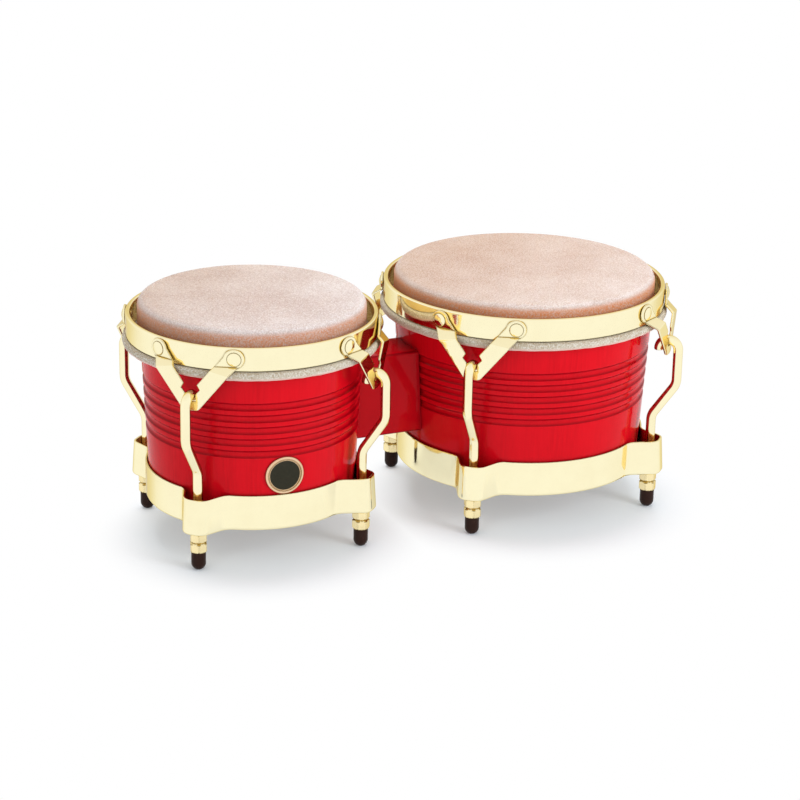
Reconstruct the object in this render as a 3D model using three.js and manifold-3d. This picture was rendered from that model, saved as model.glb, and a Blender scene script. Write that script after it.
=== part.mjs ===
// Bongo drums: two single-headed wooden drums on a shared centre block.
// Each head is pulled down by a rim, four V links and four J hook rods, which pass
// through the ears of a pressed bottom band and are drawn up by long nuts with rubber feet.
// Millimetres, +Z up. The origin is on the standing surface, under the middle of the pair.
import * as THREE from 'three';
import { mergeVertices } from 'three/addons/utils/BufferGeometryUtils.js';
import Module from 'manifold-3d';

const wasm = await Module();
wasm.setup();

// Driving dimensions
const fitGap = 0.3;
const cutOverrun = 5;
const hoopSpace = 19.4;
const lugAngle = THREE.MathUtils.degToRad(44.5);

const smallDrum = {
  name: 'small',
  headRadius: 91.5,
  headTop: 198.2,
  headClearance: 5.5,
  rodOffset: 4.8,
  lugTurn: THREE.MathUtils.degToRad(-1.5),
  taper: THREE.MathUtils.degToRad(2.7),
  taperTop: 178,
};
const largeDrum = {
  name: 'large',
  headRadius: 108.7,
  headTop: 196,
  headClearance: 4.5,
  rodOffset: 6.1,
  lugTurn: 0,
  taper: THREE.MathUtils.degToRad(3.4),
  taperTop: 150,
};

const skin = { thickness: 1.2, shoulderRadius: 7, tuck: 4 };

const shell = {
  wall: 9,
  edgeDrop: 3.5,
  grooveCount: 5,
  grooveWidth: 4.4,
  grooveDepth: 1.7,
  grooveSpacing: 9.9,
  lowestGroove: 95.3,
};

const rim = { top: 187.4, height: 18.8, wall: 4, edge: 1.8 };

const hoop = { height: 7.2, lip: 2.7, edge: 2 };

const link = {
  thickness: 2,
  strapWidth: 13.8,
  strapSlope: THREE.MathUtils.degToRad(39),
  padRadius: 7.8,
  rivetDrop: 8.6,
  rivetSpread: 31.8,
  depth: 42.2,
  cornerRound: 3.5,
  fold: THREE.MathUtils.degToRad(7.5),
  stepDrop: 6.2,
  stepLean: THREE.MathUtils.degToRad(40),
  webHeight: 7.45,
  slotHalfWidth: 4.4,
  slotHeight: 5.75,
  notchHalfWidth: 8,
  notchMiddle: 9.55,
  notchTop: 13.45,
};

const rivet = { headRadius: 5.5, headHeight: 1.9, crownRadius: 3.6, crownHeight: 1.4, shankRadius: 2.4 };

const rod = {
  radius: 3.95,
  crank: 19.6,
  lowerKnee: 81.5,
  upperKnee: 111,
  kneeRound: 5,
  hookRadius: 8.1,
  hookPlay: 0.75,
  hookTail: 1.5,
  end: 22,
};

const nut = { acrossFlats: 12.7, height: 16.2, chamfer: 0.9, grooveDepth: 0.8, grooveWidth: 1.5 };

const foot = { radius: 5.85, height: 14.8, flatRadius: 2.7, plugRadius: 3.6, plugHeight: 2.3 };

const band = { sheet: 1.8, height: 29.4, ledge: 9, bottomRound: 2.6 };

const ear = {
  topReach: 9.3,
  bottomReach: 11.2,
  frontHalfWidth: 8,
  sideSlope: THREE.MathUtils.degToRad(25),
  baseRound: 7,
  frontRound: 6,
};

const block = { depth: 40, bottom: 71, top: 141, edge: 2.5 };

const bolt = { radius: 3, headAcrossFlats: 10, headHeight: 4, reach: 20 };

const plate = { halfAngle: THREE.MathUtils.degToRad(14), height: 60, thickness: 2.5, boltMargin: 12 };

const badge = {
  radius: 15.6,
  bandSpace: 0.4,
  angle: THREE.MathUtils.degToRad(-93.7),
  thickness: 1.5,
  rimWidth: 3,
  recess: 0.6,
};

// Facet counts
const roundSegments = 36;
const smallSegments = 8;
const holeSegments = 8;
const earSegments = 3;
const arcSegments = 6;

// Heights worked out from the foot upwards
const nutBottom = foot.height + fitGap;
const bandBottom = nutBottom + nut.height + fitGap;
const bandTop = bandBottom + band.height;
const shellBottom = bandBottom + band.sheet + fitGap;
const rimBottom = rim.top - rim.height;
const hoopTop = rimBottom - fitGap;
const rivetHeight = rim.top - link.rivetDrop;
const linkBottom = rivetHeight - link.depth;
const hookSeat = linkBottom + link.webHeight;
const hookCrown = hookSeat + rod.hookPlay + rod.radius;
const badgeHeight = bandTop + badge.bandSpace + badge.radius;

const shellTop = (drum) => drum.headTop - skin.thickness - fitGap;
const shellTopRadius = (drum) => drum.headRadius - skin.thickness - fitGap;
const shellRadiusAt = (drum, z) => (
  shellTopRadius(drum) - Math.max(drum.taperTop - z, 0) * Math.tan(drum.taper)
);
const rimInnerRadius = (drum) => drum.headRadius + drum.headClearance;
const rimOuterRadius = (drum) => rimInnerRadius(drum) + rim.wall;
const hoopOuterRadius = (drum) => rimOuterRadius(drum) + hoop.lip;
const rodCircle = (drum) => drum.headRadius + drum.rodOffset;
const bandInnerRadius = (drum) => shellRadiusAt(drum, bandTop) + fitGap;

// The standing frame's middle, from the widest hoops at each end
const drumSpacing = hoopOuterRadius(smallDrum) + hoopSpace + hoopOuterRadius(largeDrum);
const middleX = (drumSpacing + hoopOuterRadius(largeDrum) - hoopOuterRadius(smallDrum)) / 2;
smallDrum.x = -middleX;
largeDrum.x = drumSpacing - middleX;

// Materials
const finish = (color, roughness, metalness) => (
  new THREE.MeshStandardMaterial({ color, roughness, metalness })
);
const lacquer = finish(0xc01020, 0.15, 0);
const goldPlate = finish(0xf0c860, 0.12, 1);
const nutPlate = finish(0xd9a94a, 0.3, 1);
const paleHide = finish(0xe0d2c4, 0.75, 0);
const rawhide = finish(0xc4c6b4, 0.8, 0);
const rubber = finish(0x2a1714, 0.7, 0);
const steel = finish(0x9a9a9c, 0.4, 1);
const medal = finish(0xc8a878, 0.35, 1);

// Geometry helpers

// Merges shared vertices, drops collapsed triangles and turns the faces outwards.
function tidy(geometry) {
  geometry.deleteAttribute('normal');
  geometry.deleteAttribute('uv');
  const merged = mergeVertices(geometry);
  const source = merged.index.array;
  const index = [];
  for (let i = 0; i < source.length; i += 3) {
    const [a, b, c] = [source[i], source[i + 1], source[i + 2]];
    if (a !== b && b !== c && c !== a) index.push(a, b, c);
  }
  if (signedVolume(merged.attributes.position, index) < 0) index.reverse();
  merged.setIndex(index);
  merged.computeVertexNormals();
  return merged;
}

function signedVolume(position, index) {
  const corners = [new THREE.Vector3(), new THREE.Vector3(), new THREE.Vector3()];
  let volume = 0;
  for (let i = 0; i < index.length; i += 3) {
    corners.forEach((corner, k) => corner.fromBufferAttribute(position, index[i + k]));
    volume += corners[0].dot(corners[1].clone().cross(corners[2]));
  }
  return volume;
}

function toSolid(geometry) {
  const closed = tidy(geometry);
  return new wasm.Manifold(new wasm.Mesh({
    numProp: 3,
    vertProperties: new Float32Array(closed.attributes.position.array),
    triVerts: new Uint32Array(closed.index.array),
  }));
}

function toGeometry(solid) {
  const mesh = solid.getMesh();
  const geometry = new THREE.BufferGeometry();
  geometry.setAttribute('position', new THREE.BufferAttribute(new Float32Array(mesh.vertProperties), 3));
  geometry.setIndex(Array.from(mesh.triVerts));
  geometry.computeVertexNormals();
  return geometry;
}

// Turns a closed profile of [radius, z] points about the Z axis.
function revolve(profile, segments = roundSegments) {
  const points = [...profile, profile[0]].map(([radius, z]) => new THREE.Vector2(radius, z));
  return tidy(new THREE.LatheGeometry(points, segments).rotateX(Math.PI / 2));
}

// A round pin along Z, whose flats, not corners, lie at the radius when it cuts a hole.
function pin(radius, from, to, segments = smallSegments) {
  return revolve([[0, from], [radius, from], [radius, to], [0, to]], segments);
}

function holePin(radius, from, to) {
  return pin(radius / Math.cos(Math.PI / holeSegments), from, to, holeSegments);
}

// Arc in a [radius, z] profile, between two angles about a centre.
function profileArc(centreRadius, centreZ, radius, fromAngle, toAngle, steps) {
  return Array.from({ length: steps + 1 }, (_, i) => {
    const angle = fromAngle + ((toAngle - fromAngle) * i) / steps;
    return [centreRadius + radius * Math.cos(angle), centreZ + radius * Math.sin(angle)];
  });
}

// Joins rings of equal point counts into one closed body, capped, or closed on itself.
function loft(rings, closed = false) {
  const size = rings[0].length;
  const index = [];
  const spans = closed ? rings.length : rings.length - 1;
  for (let i = 0; i < spans; i += 1) {
    const here = i * size;
    const next = ((i + 1) % rings.length) * size;
    for (let k = 0; k < size; k += 1) {
      const after = (k + 1) % size;
      index.push(here + k, here + after, next + after, here + k, next + after, next + k);
    }
  }
  if (!closed) {
    const last = (rings.length - 1) * size;
    for (let k = 1; k < size - 1; k += 1) {
      index.push(0, k + 1, k, last, last + k, last + k + 1);
    }
  }
  const geometry = new THREE.BufferGeometry().setFromPoints(rings.flat());
  geometry.setIndex(index);
  return tidy(geometry);
}

// Points of a quadratic bend that rounds a corner between two neighbours.
function roundCorner(before, corner, after, setback, steps) {
  const start = corner.clone().lerp(before, setback / corner.distanceTo(before));
  const end = corner.clone().lerp(after, setback / corner.distanceTo(after));
  return new THREE.QuadraticBezierCurve(start, corner, end).getPoints(steps);
}

// Extrudes an outline drawn in the lug's tangential and upright directions along its radius.
function radialPrism(outline, from, to) {
  const geometry = new THREE.ExtrudeGeometry(new THREE.Shape(outline), {
    depth: to - from,
    bevelEnabled: false,
  });
  const basis = new THREE.Matrix4().makeBasis(
    new THREE.Vector3(0, 1, 0),
    new THREE.Vector3(0, 0, 1),
    new THREE.Vector3(1, 0, 0),
  );
  return tidy(geometry.applyMatrix4(basis).translate(from, 0, 0));
}

// Turns a body made along Z so that it points along +X, then turns it about Z.
function aimOutward(geometry, angle = 0) {
  return geometry.rotateY(Math.PI / 2).rotateZ(angle);
}

// Parts of one drum

function shellGeometry(drum, boltAngle) {
  const top = shellTop(drum);
  const topRadius = shellTopRadius(drum);
  const { taperTop } = drum;
  const cornerRadius = skin.shoulderRadius - skin.thickness - fitGap;
  const outer = [[shellRadiusAt(drum, shellBottom), shellBottom]];
  for (let i = 0; i < shell.grooveCount; i += 1) {
    const middle = shell.lowestGroove + i * shell.grooveSpacing;
    const low = middle - shell.grooveWidth / 2;
    const high = middle + shell.grooveWidth / 2;
    outer.push([shellRadiusAt(drum, low), low]);
    outer.push([shellRadiusAt(drum, middle) - shell.grooveDepth, middle]);
    outer.push([shellRadiusAt(drum, high), high]);
  }
  outer.push([topRadius, taperTop]);
  outer.push(...profileArc(topRadius - cornerRadius, top - cornerRadius, cornerRadius, 0, Math.PI / 2, 2));
  const innerRadiusAt = (z) => shellRadiusAt(drum, z) - shell.wall;
  const inner = [
    [topRadius - shell.wall, top - shell.edgeDrop],
    [topRadius - shell.wall, taperTop],
    [innerRadiusAt(shellBottom), shellBottom],
  ];
  let solid = toSolid(revolve([...outer, ...inner]));
  for (const z of boltHeights()) {
    const hole = holePin(bolt.radius + fitGap, topRadius / 2, topRadius + cutOverrun);
    solid = solid.subtract(toSolid(aimOutward(hole, boltAngle).translate(0, 0, z)));
  }
  return toGeometry(solid);
}

function headGeometry(drum) {
  const { thickness, shoulderRadius } = skin;
  const radius = drum.headRadius;
  const shoulder = drum.headTop - shoulderRadius;
  const skirtBottom = hoopTop - skin.tuck;
  const centre = radius - shoulderRadius;
  return revolve([
    [radius, skirtBottom],
    ...profileArc(centre, shoulder, shoulderRadius, 0, Math.PI / 2, 3),
    [0, drum.headTop],
    [0, drum.headTop - thickness],
    ...profileArc(centre, shoulder, shoulderRadius - thickness, Math.PI / 2, 0, 2),
    [radius - thickness, skirtBottom],
  ]);
}

function hoopGeometry(drum) {
  const inner = drum.headRadius + fitGap;
  const outer = hoopOuterRadius(drum);
  const bottom = hoopTop - hoop.height;
  return revolve([
    [inner, bottom],
    [outer - hoop.edge, bottom],
    [outer, bottom + hoop.edge],
    [outer, hoopTop - hoop.edge],
    [outer - hoop.edge, hoopTop],
    [inner, hoopTop],
  ]);
}

function rimGeometry(drum) {
  const inner = rimInnerRadius(drum);
  const outer = rimOuterRadius(drum);
  const shoulder = rim.top - rim.edge;
  let solid = toSolid(revolve([
    [inner, rimBottom],
    [outer, rimBottom],
    ...profileArc(outer - rim.edge, shoulder, rim.edge, 0, Math.PI / 2, 2),
    [inner + rim.edge, rim.top],
    [inner, shoulder],
  ]));
  for (const angle of rivetAngles(drum)) {
    const hole = holePin(rivet.shankRadius + fitGap, inner - cutOverrun, outer + cutOverrun);
    solid = solid.subtract(toSolid(aimOutward(hole, angle).translate(0, 0, rivetHeight)));
  }
  return toGeometry(solid);
}

// Turn about the drum's axis from a lug to either of its rivets.
function strapAngle(drum) {
  return Math.asin(link.rivetSpread / (rimOuterRadius(drum) + fitGap));
}

function rivetAngles(drum) {
  const offset = strapAngle(drum);
  return lugs(drum).flatMap(({ angle }) => [angle - offset, angle + offset]);
}

function hookPlane(drum) {
  return rodCircle(drum) + rod.crank - rod.hookRadius;
}

// The V link's straps lean back from a fold that the hook holds, and a sloping step takes
// each of them in to a pad in the plane that touches the rim at its rivet. This gives one
// face of the sheet as points going up; depth is counted from the inner face.
function linkFace(drum, across, depth) {
  const side = Math.abs(across);
  const angle = strapAngle(drum);
  const pad = (rimOuterRadius(drum) + fitGap + depth - side * Math.sin(angle)) / Math.cos(angle);
  const strap = hookPlane(drum) - link.thickness / 2 + depth - side * Math.tan(link.fold);
  const stepTop = rivetHeight - link.stepDrop - (link.thickness - depth) * Math.tan(link.stepLean / 2);
  const stepBottom = stepTop - Math.max(strap - pad, 0) / Math.tan(link.stepLean);
  return [
    new THREE.Vector3(strap, across, linkBottom - cutOverrun),
    new THREE.Vector3(strap, across, stepBottom),
    new THREE.Vector3(pad, across, stepTop),
    new THREE.Vector3(pad, across, rivetHeight + link.strapWidth),
  ];
}

function linkSheet(drum) {
  const side = link.rivetSpread + link.strapWidth;
  const ring = (across) => [
    ...linkFace(drum, across, link.thickness),
    ...linkFace(drum, across, 0).reverse(),
  ];
  return sheetSolid([ring(-side), ring(0), ring(side)]);
}

// Closes a sheet made of rings that run up its outer face and down its inner face.
function sheetSolid(rings) {
  const size = rings[0].length;
  const index = [];
  for (let i = 0; i < rings.length - 1; i += 1) {
    for (let k = 0; k < size; k += 1) {
      const after = (k + 1) % size;
      const [here, next] = [i * size, (i + 1) * size];
      index.push(here + k, next + k, next + after, here + k, next + after, here + after);
    }
  }
  const last = (rings.length - 1) * size;
  for (let k = 0; k < size / 2 - 1; k += 1) {
    const [low, high, backHigh, backLow] = [k, k + 1, size - 2 - k, size - 1 - k];
    index.push(low, high, backHigh, low, backHigh, backLow);
    index.push(last + low, last + backHigh, last + high, last + low, last + backLow, last + backHigh);
  }
  const geometry = new THREE.BufferGeometry().setFromPoints(rings.flat());
  geometry.setIndex(index);
  return tidy(geometry);
}

// The link's outline, from the middle of its foot round the rivet to the hook's slot, and back.
function linkOutline() {
  const slope = link.strapSlope;
  const half = link.strapWidth / 2;
  const centre = new THREE.Vector2(link.rivetSpread, rivetHeight);
  const aside = new THREE.Vector2(Math.cos(slope), -Math.sin(slope));
  const down = new THREE.Vector2(-Math.sin(slope), -Math.cos(slope));
  const outerStart = centre.clone().addScaledVector(aside, half);
  const innerStart = centre.clone().addScaledVector(aside, -half);
  const along = (start, z) => start.clone().addScaledVector(down, (z - start.y) / down.y);
  const corner = along(outerStart, linkBottom);
  const footMiddle = new THREE.Vector2(0, linkBottom);
  const past = Math.acos(half / link.padRadius);
  const [from, to] = [-slope - past, Math.PI - slope + past];
  const pad = new THREE.Path().absarc(centre.x, centre.y, link.padRadius, from, to, false);
  const halfOutline = [
    ...roundCorner(footMiddle, corner, outerStart, link.cornerRound, 2),
    ...pad.getPoints(4),
    along(innerStart, hookSeat + link.notchTop),
    new THREE.Vector2(link.notchHalfWidth, hookSeat + link.notchMiddle),
    new THREE.Vector2(link.slotHalfWidth, hookSeat + link.slotHeight),
    new THREE.Vector2(link.slotHalfWidth, hookSeat),
  ];
  const mirrored = halfOutline.map((point) => new THREE.Vector2(-point.x, point.y)).reverse();
  return [...halfOutline, ...mirrored];
}

function rivetGeometry() {
  const shankEnd = -(link.thickness + fitGap + rim.wall);
  return revolve([
    [0, shankEnd],
    [rivet.shankRadius, shankEnd],
    [rivet.shankRadius, -link.thickness / 2],
    [rivet.headRadius, -link.thickness / 2],
    [rivet.headRadius, 0],
    [rivet.crownRadius, rivet.crownHeight],
    [0, rivet.headHeight],
  ], smallSegments);
}

function linkGeometry(drum) {
  const inside = rimInnerRadius(drum) - link.rivetSpread;
  const outside = rodCircle(drum) + rod.crank + link.rivetSpread;
  let solid = toSolid(linkSheet(drum)).intersect(toSolid(radialPrism(linkOutline(), inside, outside)));
  const face = rimOuterRadius(drum) + fitGap + link.thickness;
  for (const angle of [-strapAngle(drum), strapAngle(drum)]) {
    const body = rivetGeometry().translate(0, 0, face);
    solid = solid.add(toSolid(aimOutward(body, angle).translate(0, 0, rivetHeight)));
  }
  return toGeometry(solid);
}

// The rod's centre line in the lug's plane, as [distance out, height] points.
function rodLine(drum) {
  const inner = rodCircle(drum);
  const outer = inner + rod.crank;
  const start = new THREE.Vector2(inner, rod.end);
  const low = new THREE.Vector2(inner, rod.lowerKnee);
  const high = new THREE.Vector2(outer, rod.upperKnee);
  const hookBase = hookCrown - rod.hookRadius;
  const neck = new THREE.Vector2(outer, hookBase);
  const hook = new THREE.Path().absarc(outer - rod.hookRadius, hookBase, rod.hookRadius, 0, Math.PI, false);
  return [
    start,
    ...roundCorner(start, low, high, rod.kneeRound, 3),
    ...roundCorner(low, high, neck, rod.kneeRound, 3),
    ...hook.getPoints(3),
    new THREE.Vector2(outer - 2 * rod.hookRadius, hookBase - rod.hookTail),
  ];
}

function rodGeometry(drum) {
  const line = rodLine(drum);
  const rings = line.map((point, i) => {
    const before = line[Math.max(i - 1, 0)];
    const after = line[Math.min(i + 1, line.length - 1)];
    const along = after.clone().sub(before).normalize();
    const aside = new THREE.Vector3(along.y, 0, -along.x);
    const centre = new THREE.Vector3(point.x, 0, point.y);
    return Array.from({ length: smallSegments }, (_, k) => {
      const turn = (2 * Math.PI * (k + 1 / 2)) / smallSegments;
      const side = new THREE.Vector3(0, rod.radius * Math.sin(turn), 0);
      return centre.clone().addScaledVector(aside, rod.radius * Math.cos(turn)).add(side);
    });
  });
  return loft(rings);
}

function nutGeometry() {
  const corner = nut.acrossFlats / 2 / Math.cos(Math.PI / 6);
  const waist = corner - nut.grooveDepth;
  const top = nutBottom + nut.height;
  const middle = nutBottom + nut.height / 2;
  const hexagon = revolve([
    [0, nutBottom],
    [corner - nut.chamfer, nutBottom],
    [corner, nutBottom + nut.chamfer],
    [corner, middle - nut.grooveWidth / 2],
    [waist, middle],
    [corner, middle + nut.grooveWidth / 2],
    [corner, top - nut.chamfer],
    [corner - nut.chamfer, top],
    [0, top],
  ], 6);
  const bore = holePin(rod.radius + fitGap, nutBottom - cutOverrun, top + cutOverrun);
  return toGeometry(toSolid(hexagon).subtract(toSolid(bore)));
}

function footGeometry() {
  const domeHeight = Math.sqrt(foot.radius ** 2 - foot.flatRadius ** 2);
  const flatEdge = -Math.atan2(domeHeight, foot.flatRadius);
  return revolve([
    [0, 0],
    ...profileArc(0, domeHeight, foot.radius, flatEdge, 0, 3),
    [foot.radius, foot.height],
    [foot.plugRadius, foot.height],
    [foot.plugRadius, foot.height + foot.plugHeight],
    [0, foot.height + foot.plugHeight],
  ], smallSegments);
}

// Middle line of the band's wall in plan, once round the drum, with ears of one reach.
function bandLine(drum, reach) {
  const radius = bandInnerRadius(drum) + band.sheet / 2;
  const front = rodCircle(drum) + reach - band.sheet / 2;
  const spread = Math.tan(ear.sideSlope);
  // The ear's side leaves the circle where its slanted line meets it.
  const a = 1 + spread ** 2;
  const b = ear.frontHalfWidth * spread - front;
  const c = front ** 2 + ear.frontHalfWidth ** 2 - radius ** 2;
  const back = (-b - Math.sqrt(b ** 2 - a * c)) / a;
  const base = new THREE.Vector2(front - back, ear.frontHalfWidth + back * spread);
  const corner = new THREE.Vector2(front, ear.frontHalfWidth);
  const baseAngle = Math.atan2(base.y, base.x);
  const arcStart = baseAngle + ear.baseRound / radius;
  const onCircle = new THREE.Vector2(radius * Math.cos(arcStart), radius * Math.sin(arcStart));
  const halfEar = [
    ...roundCorner(new THREE.Vector2(front, 0), corner, base, ear.frontRound, earSegments),
    ...roundCorner(corner, base, onCircle, ear.baseRound, earSegments),
  ];
  const wholeEar = [...halfEar.map((point) => new THREE.Vector2(point.x, -point.y)).reverse(), ...halfEar];
  const origin = new THREE.Vector2(0, 0);
  return lugs(drum).flatMap(({ angle }, i, all) => {
    const next = all[(i + 1) % all.length].angle + (i + 1 === all.length ? 2 * Math.PI : 0);
    const [from, to] = [angle + arcStart, next - arcStart];
    const arc = Array.from({ length: arcSegments - 1 }, (_, k) => {
      const at = from + ((to - from) * (k + 1)) / arcSegments;
      return new THREE.Vector2(radius * Math.cos(at), radius * Math.sin(at));
    });
    return [...wholeEar.map((point) => point.clone().rotateAround(origin, angle)), ...arc];
  });
}

// A point beside a closed line in plan, at an offset out from its i-th point.
function beside(line, i, offset, z) {
  const before = line[(i + line.length - 1) % line.length];
  const after = line[(i + 1) % line.length];
  const along = after.clone().sub(before).normalize();
  const out = new THREE.Vector2(along.y, -along.x);
  const at = line[i].clone().addScaledVector(out, offset);
  return new THREE.Vector3(at.x, at.y, z);
}

// The ears lean out a little towards the bottom.
function bandGeometry(drum) {
  const topLine = bandLine(drum, ear.topReach);
  const bottomLine = bandLine(drum, ear.bottomReach);
  const ledgeRadius = bandInnerRadius(drum) - band.ledge;
  const half = band.sheet / 2;
  const round = band.bottomRound;
  const roundEase = round * (1 - Math.SQRT1_2);
  const rings = bottomLine.map((point, i) => {
    const inward = point.clone().setLength(ledgeRadius);
    return [
      beside(topLine, i, half, bandTop),
      beside(bottomLine, i, half, bandBottom + round),
      beside(bottomLine, i, half - roundEase, bandBottom + roundEase),
      beside(bottomLine, i, half - round, bandBottom),
      new THREE.Vector3(inward.x, inward.y, bandBottom),
      new THREE.Vector3(inward.x, inward.y, bandBottom + band.sheet),
      beside(bottomLine, i, -half, bandBottom + band.sheet),
      beside(topLine, i, -half, bandTop),
    ];
  });
  let solid = toSolid(loft(rings, true));
  for (const { angle } of lugs(drum)) {
    const hole = holePin(rod.radius + fitGap, bandBottom - cutOverrun, bandBottom + cutOverrun);
    solid = solid.subtract(toSolid(hole.translate(rodCircle(drum), 0, 0).rotateZ(angle)));
  }
  return toGeometry(solid);
}

// The centre block and what holds it

function boltHeights() {
  const middle = (block.bottom + block.top) / 2;
  const offset = plate.height / 2 - plate.boltMargin;
  return [middle - offset, middle + offset];
}

// The space that a drum's outside takes up, with the fitting clearance round it.
function shellEnvelope(drum, from, to, clearance) {
  return revolve([
    [0, from],
    [shellRadiusAt(drum, from) + clearance, from],
    [shellRadiusAt(drum, to) + clearance, to],
    [0, to],
  ]);
}

function blockGeometry() {
  const height = block.top - block.bottom;
  const shape = new THREE.Shape();
  const half = new THREE.Vector2(block.depth / 2 - block.edge, height / 2 - block.edge);
  shape.absarc(half.x, half.y, block.edge, 0, Math.PI / 2, false);
  shape.absarc(-half.x, half.y, block.edge, Math.PI / 2, Math.PI, false);
  shape.absarc(-half.x, -half.y, block.edge, Math.PI, 1.5 * Math.PI, false);
  shape.absarc(half.x, -half.y, block.edge, 1.5 * Math.PI, 2 * Math.PI, false);
  const bar = radialPrism(shape.getPoints(1), smallDrum.x, largeDrum.x);
  let solid = toSolid(bar.translate(0, 0, block.bottom + height / 2));
  for (const drum of [smallDrum, largeDrum]) {
    const shellSpace = shellEnvelope(drum, block.bottom - cutOverrun, block.top + cutOverrun, fitGap);
    solid = solid.subtract(toSolid(shellSpace.translate(drum.x, 0, 0)));
    for (const z of boltHeights()) {
      const end = shellRadiusAt(drum, z) + bolt.reach + fitGap;
      const hole = aimOutward(holePin(bolt.radius + fitGap, 0, end), inwardAngle(drum));
      solid = solid.subtract(toSolid(hole.translate(drum.x, 0, z)));
    }
  }
  return toGeometry(solid);
}

function inwardAngle(drum) {
  return drum === smallDrum ? 0 : Math.PI;
}

// How far out a plate inside the shell may reach, clear of the flats of the shell's bore.
function plateFace(drum, z) {
  return (shellRadiusAt(drum, z) - shell.wall) * Math.cos(Math.PI / roundSegments) - fitGap;
}

// A curved plate inside the shell that spreads the load of the bolt heads.
function plateGeometry(drum) {
  const middle = (block.bottom + block.top) / 2;
  const outer = plateFace(drum, middle);
  const inner = outer - plate.thickness;
  const section = new THREE.Shape();
  section.absarc(0, 0, outer, -plate.halfAngle, plate.halfAngle, false);
  section.absarc(0, 0, inner, plate.halfAngle, -plate.halfAngle, true);
  const slab = new THREE.ExtrudeGeometry(section, {
    depth: plate.height,
    curveSegments: 3,
    bevelEnabled: false,
  });
  slab.translate(-outer, 0, -plate.height / 2).rotateY(drum.taper).translate(outer, 0, middle);
  let solid = toSolid(slab);
  for (const z of boltHeights()) {
    const hole = aimOutward(holePin(bolt.radius + fitGap, inner - cutOverrun, outer + cutOverrun));
    solid = solid.subtract(toSolid(hole.translate(0, 0, z)));
  }
  return toGeometry(solid).rotateZ(inwardAngle(drum));
}

function boltGeometry(drum, z) {
  const tilt = bolt.headAcrossFlats * Math.tan(drum.taper);
  const seat = plateFace(drum, z) - plate.thickness - tilt - fitGap;
  const end = shellRadiusAt(drum, z) + bolt.reach;
  const corner = bolt.headAcrossFlats / 2 / Math.cos(Math.PI / 6);
  const head = pin(corner, seat - bolt.headHeight, seat, 6);
  const shank = pin(bolt.radius, seat - bolt.headHeight / 2, end);
  const solid = toSolid(head).add(toSolid(shank));
  return aimOutward(toGeometry(solid), inwardAngle(drum)).translate(0, 0, z);
}

// A plain round medal, with a raised edge, bent to the shell.
function badgeGeometry(drum) {
  const low = badgeHeight - badge.radius - cutOverrun;
  const high = badgeHeight + badge.radius + cutOverrun;
  const skinOf = (from, to) => {
    const outerSpace = toSolid(shellEnvelope(drum, low, high, to));
    const innerSpace = toSolid(shellEnvelope(drum, low - cutOverrun, high + cutOverrun, from));
    return outerSpace.subtract(innerSpace);
  };
  const disc = (radius) => {
    const cutter = pin(radius, drum.headRadius / 2, drum.headRadius + cutOverrun, 2 * smallSegments);
    return toSolid(aimOutward(cutter, badge.angle).translate(0, 0, badgeHeight));
  };
  const floor = fitGap + badge.thickness - badge.recess;
  const medalBody = skinOf(fitGap, fitGap + badge.thickness).intersect(disc(badge.radius));
  const recess = skinOf(floor, floor + cutOverrun).intersect(disc(badge.radius - badge.rimWidth));
  return toGeometry(medalBody.subtract(recess));
}

// Assembly

function lugs(drum) {
  return [
    { place: 'back_right', angle: drum.lugTurn + lugAngle },
    { place: 'back_left', angle: drum.lugTurn + Math.PI - lugAngle },
    { place: 'front_left', angle: drum.lugTurn + Math.PI + lugAngle },
    { place: 'front_right', angle: drum.lugTurn + 2 * Math.PI - lugAngle },
  ];
}

function piece(name, geometry, material) {
  const mesh = new THREE.Mesh(geometry, material);
  mesh.name = name;
  return mesh;
}

function tuningSet(drum, shapes, { place, angle }) {
  const set = new THREE.Group();
  set.rotation.z = angle;
  const nutMesh = piece(`${drum.name}_tuning_nut_${place}`, shapes.nut, nutPlate);
  const footMesh = piece(`${drum.name}_rubber_foot_${place}`, shapes.foot, rubber);
  nutMesh.position.x = rodCircle(drum);
  footMesh.position.x = rodCircle(drum);
  set.add(
    piece(`${drum.name}_v_link_${place}`, shapes.link, goldPlate),
    piece(`${drum.name}_hook_rod_${place}`, shapes.rod, goldPlate),
    nutMesh,
    footMesh,
  );
  return set;
}

function drumAssembly(drum) {
  const group = new THREE.Group();
  group.position.x = drum.x;
  group.add(
    piece(`${drum.name}_shell`, shellGeometry(drum, inwardAngle(drum)), lacquer),
    piece(`${drum.name}_head_skin`, headGeometry(drum), paleHide),
    piece(`${drum.name}_flesh_hoop`, hoopGeometry(drum), rawhide),
    piece(`${drum.name}_rim`, rimGeometry(drum), goldPlate),
    piece(`${drum.name}_bottom_band`, bandGeometry(drum), goldPlate),
    piece(`${drum.name}_backing_plate`, plateGeometry(drum), steel),
  );
  boltHeights().forEach((z, i) => {
    group.add(piece(`${drum.name}_block_bolt_${i === 0 ? 'lower' : 'upper'}`, boltGeometry(drum, z), steel));
  });
  const shapes = {
    link: linkGeometry(drum),
    rod: rodGeometry(drum),
    nut: nutGeometry(),
    foot: footGeometry(),
  };
  for (const lug of lugs(drum)) group.add(tuningSet(drum, shapes, lug));
  return group;
}

function bongoDrums() {
  const group = new THREE.Group();
  const small = drumAssembly(smallDrum);
  small.add(piece('badge', badgeGeometry(smallDrum), medal));
  group.add(small, drumAssembly(largeDrum), piece('centre_block', blockGeometry(), lacquer));
  return group;
}

export default bongoDrums();
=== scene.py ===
"""Dresses the packed bongo drums as lacquered shells, hide heads and plated hardware in a studio.

Lengths are in metres in the frame of the packed model, and each piece rides on its own body.
"""

import math
from types import SimpleNamespace

import bmesh
import bpy
from mathutils import Matrix, Vector, noise
from mathutils.geometry import delaunay_2d_cdt


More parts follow.
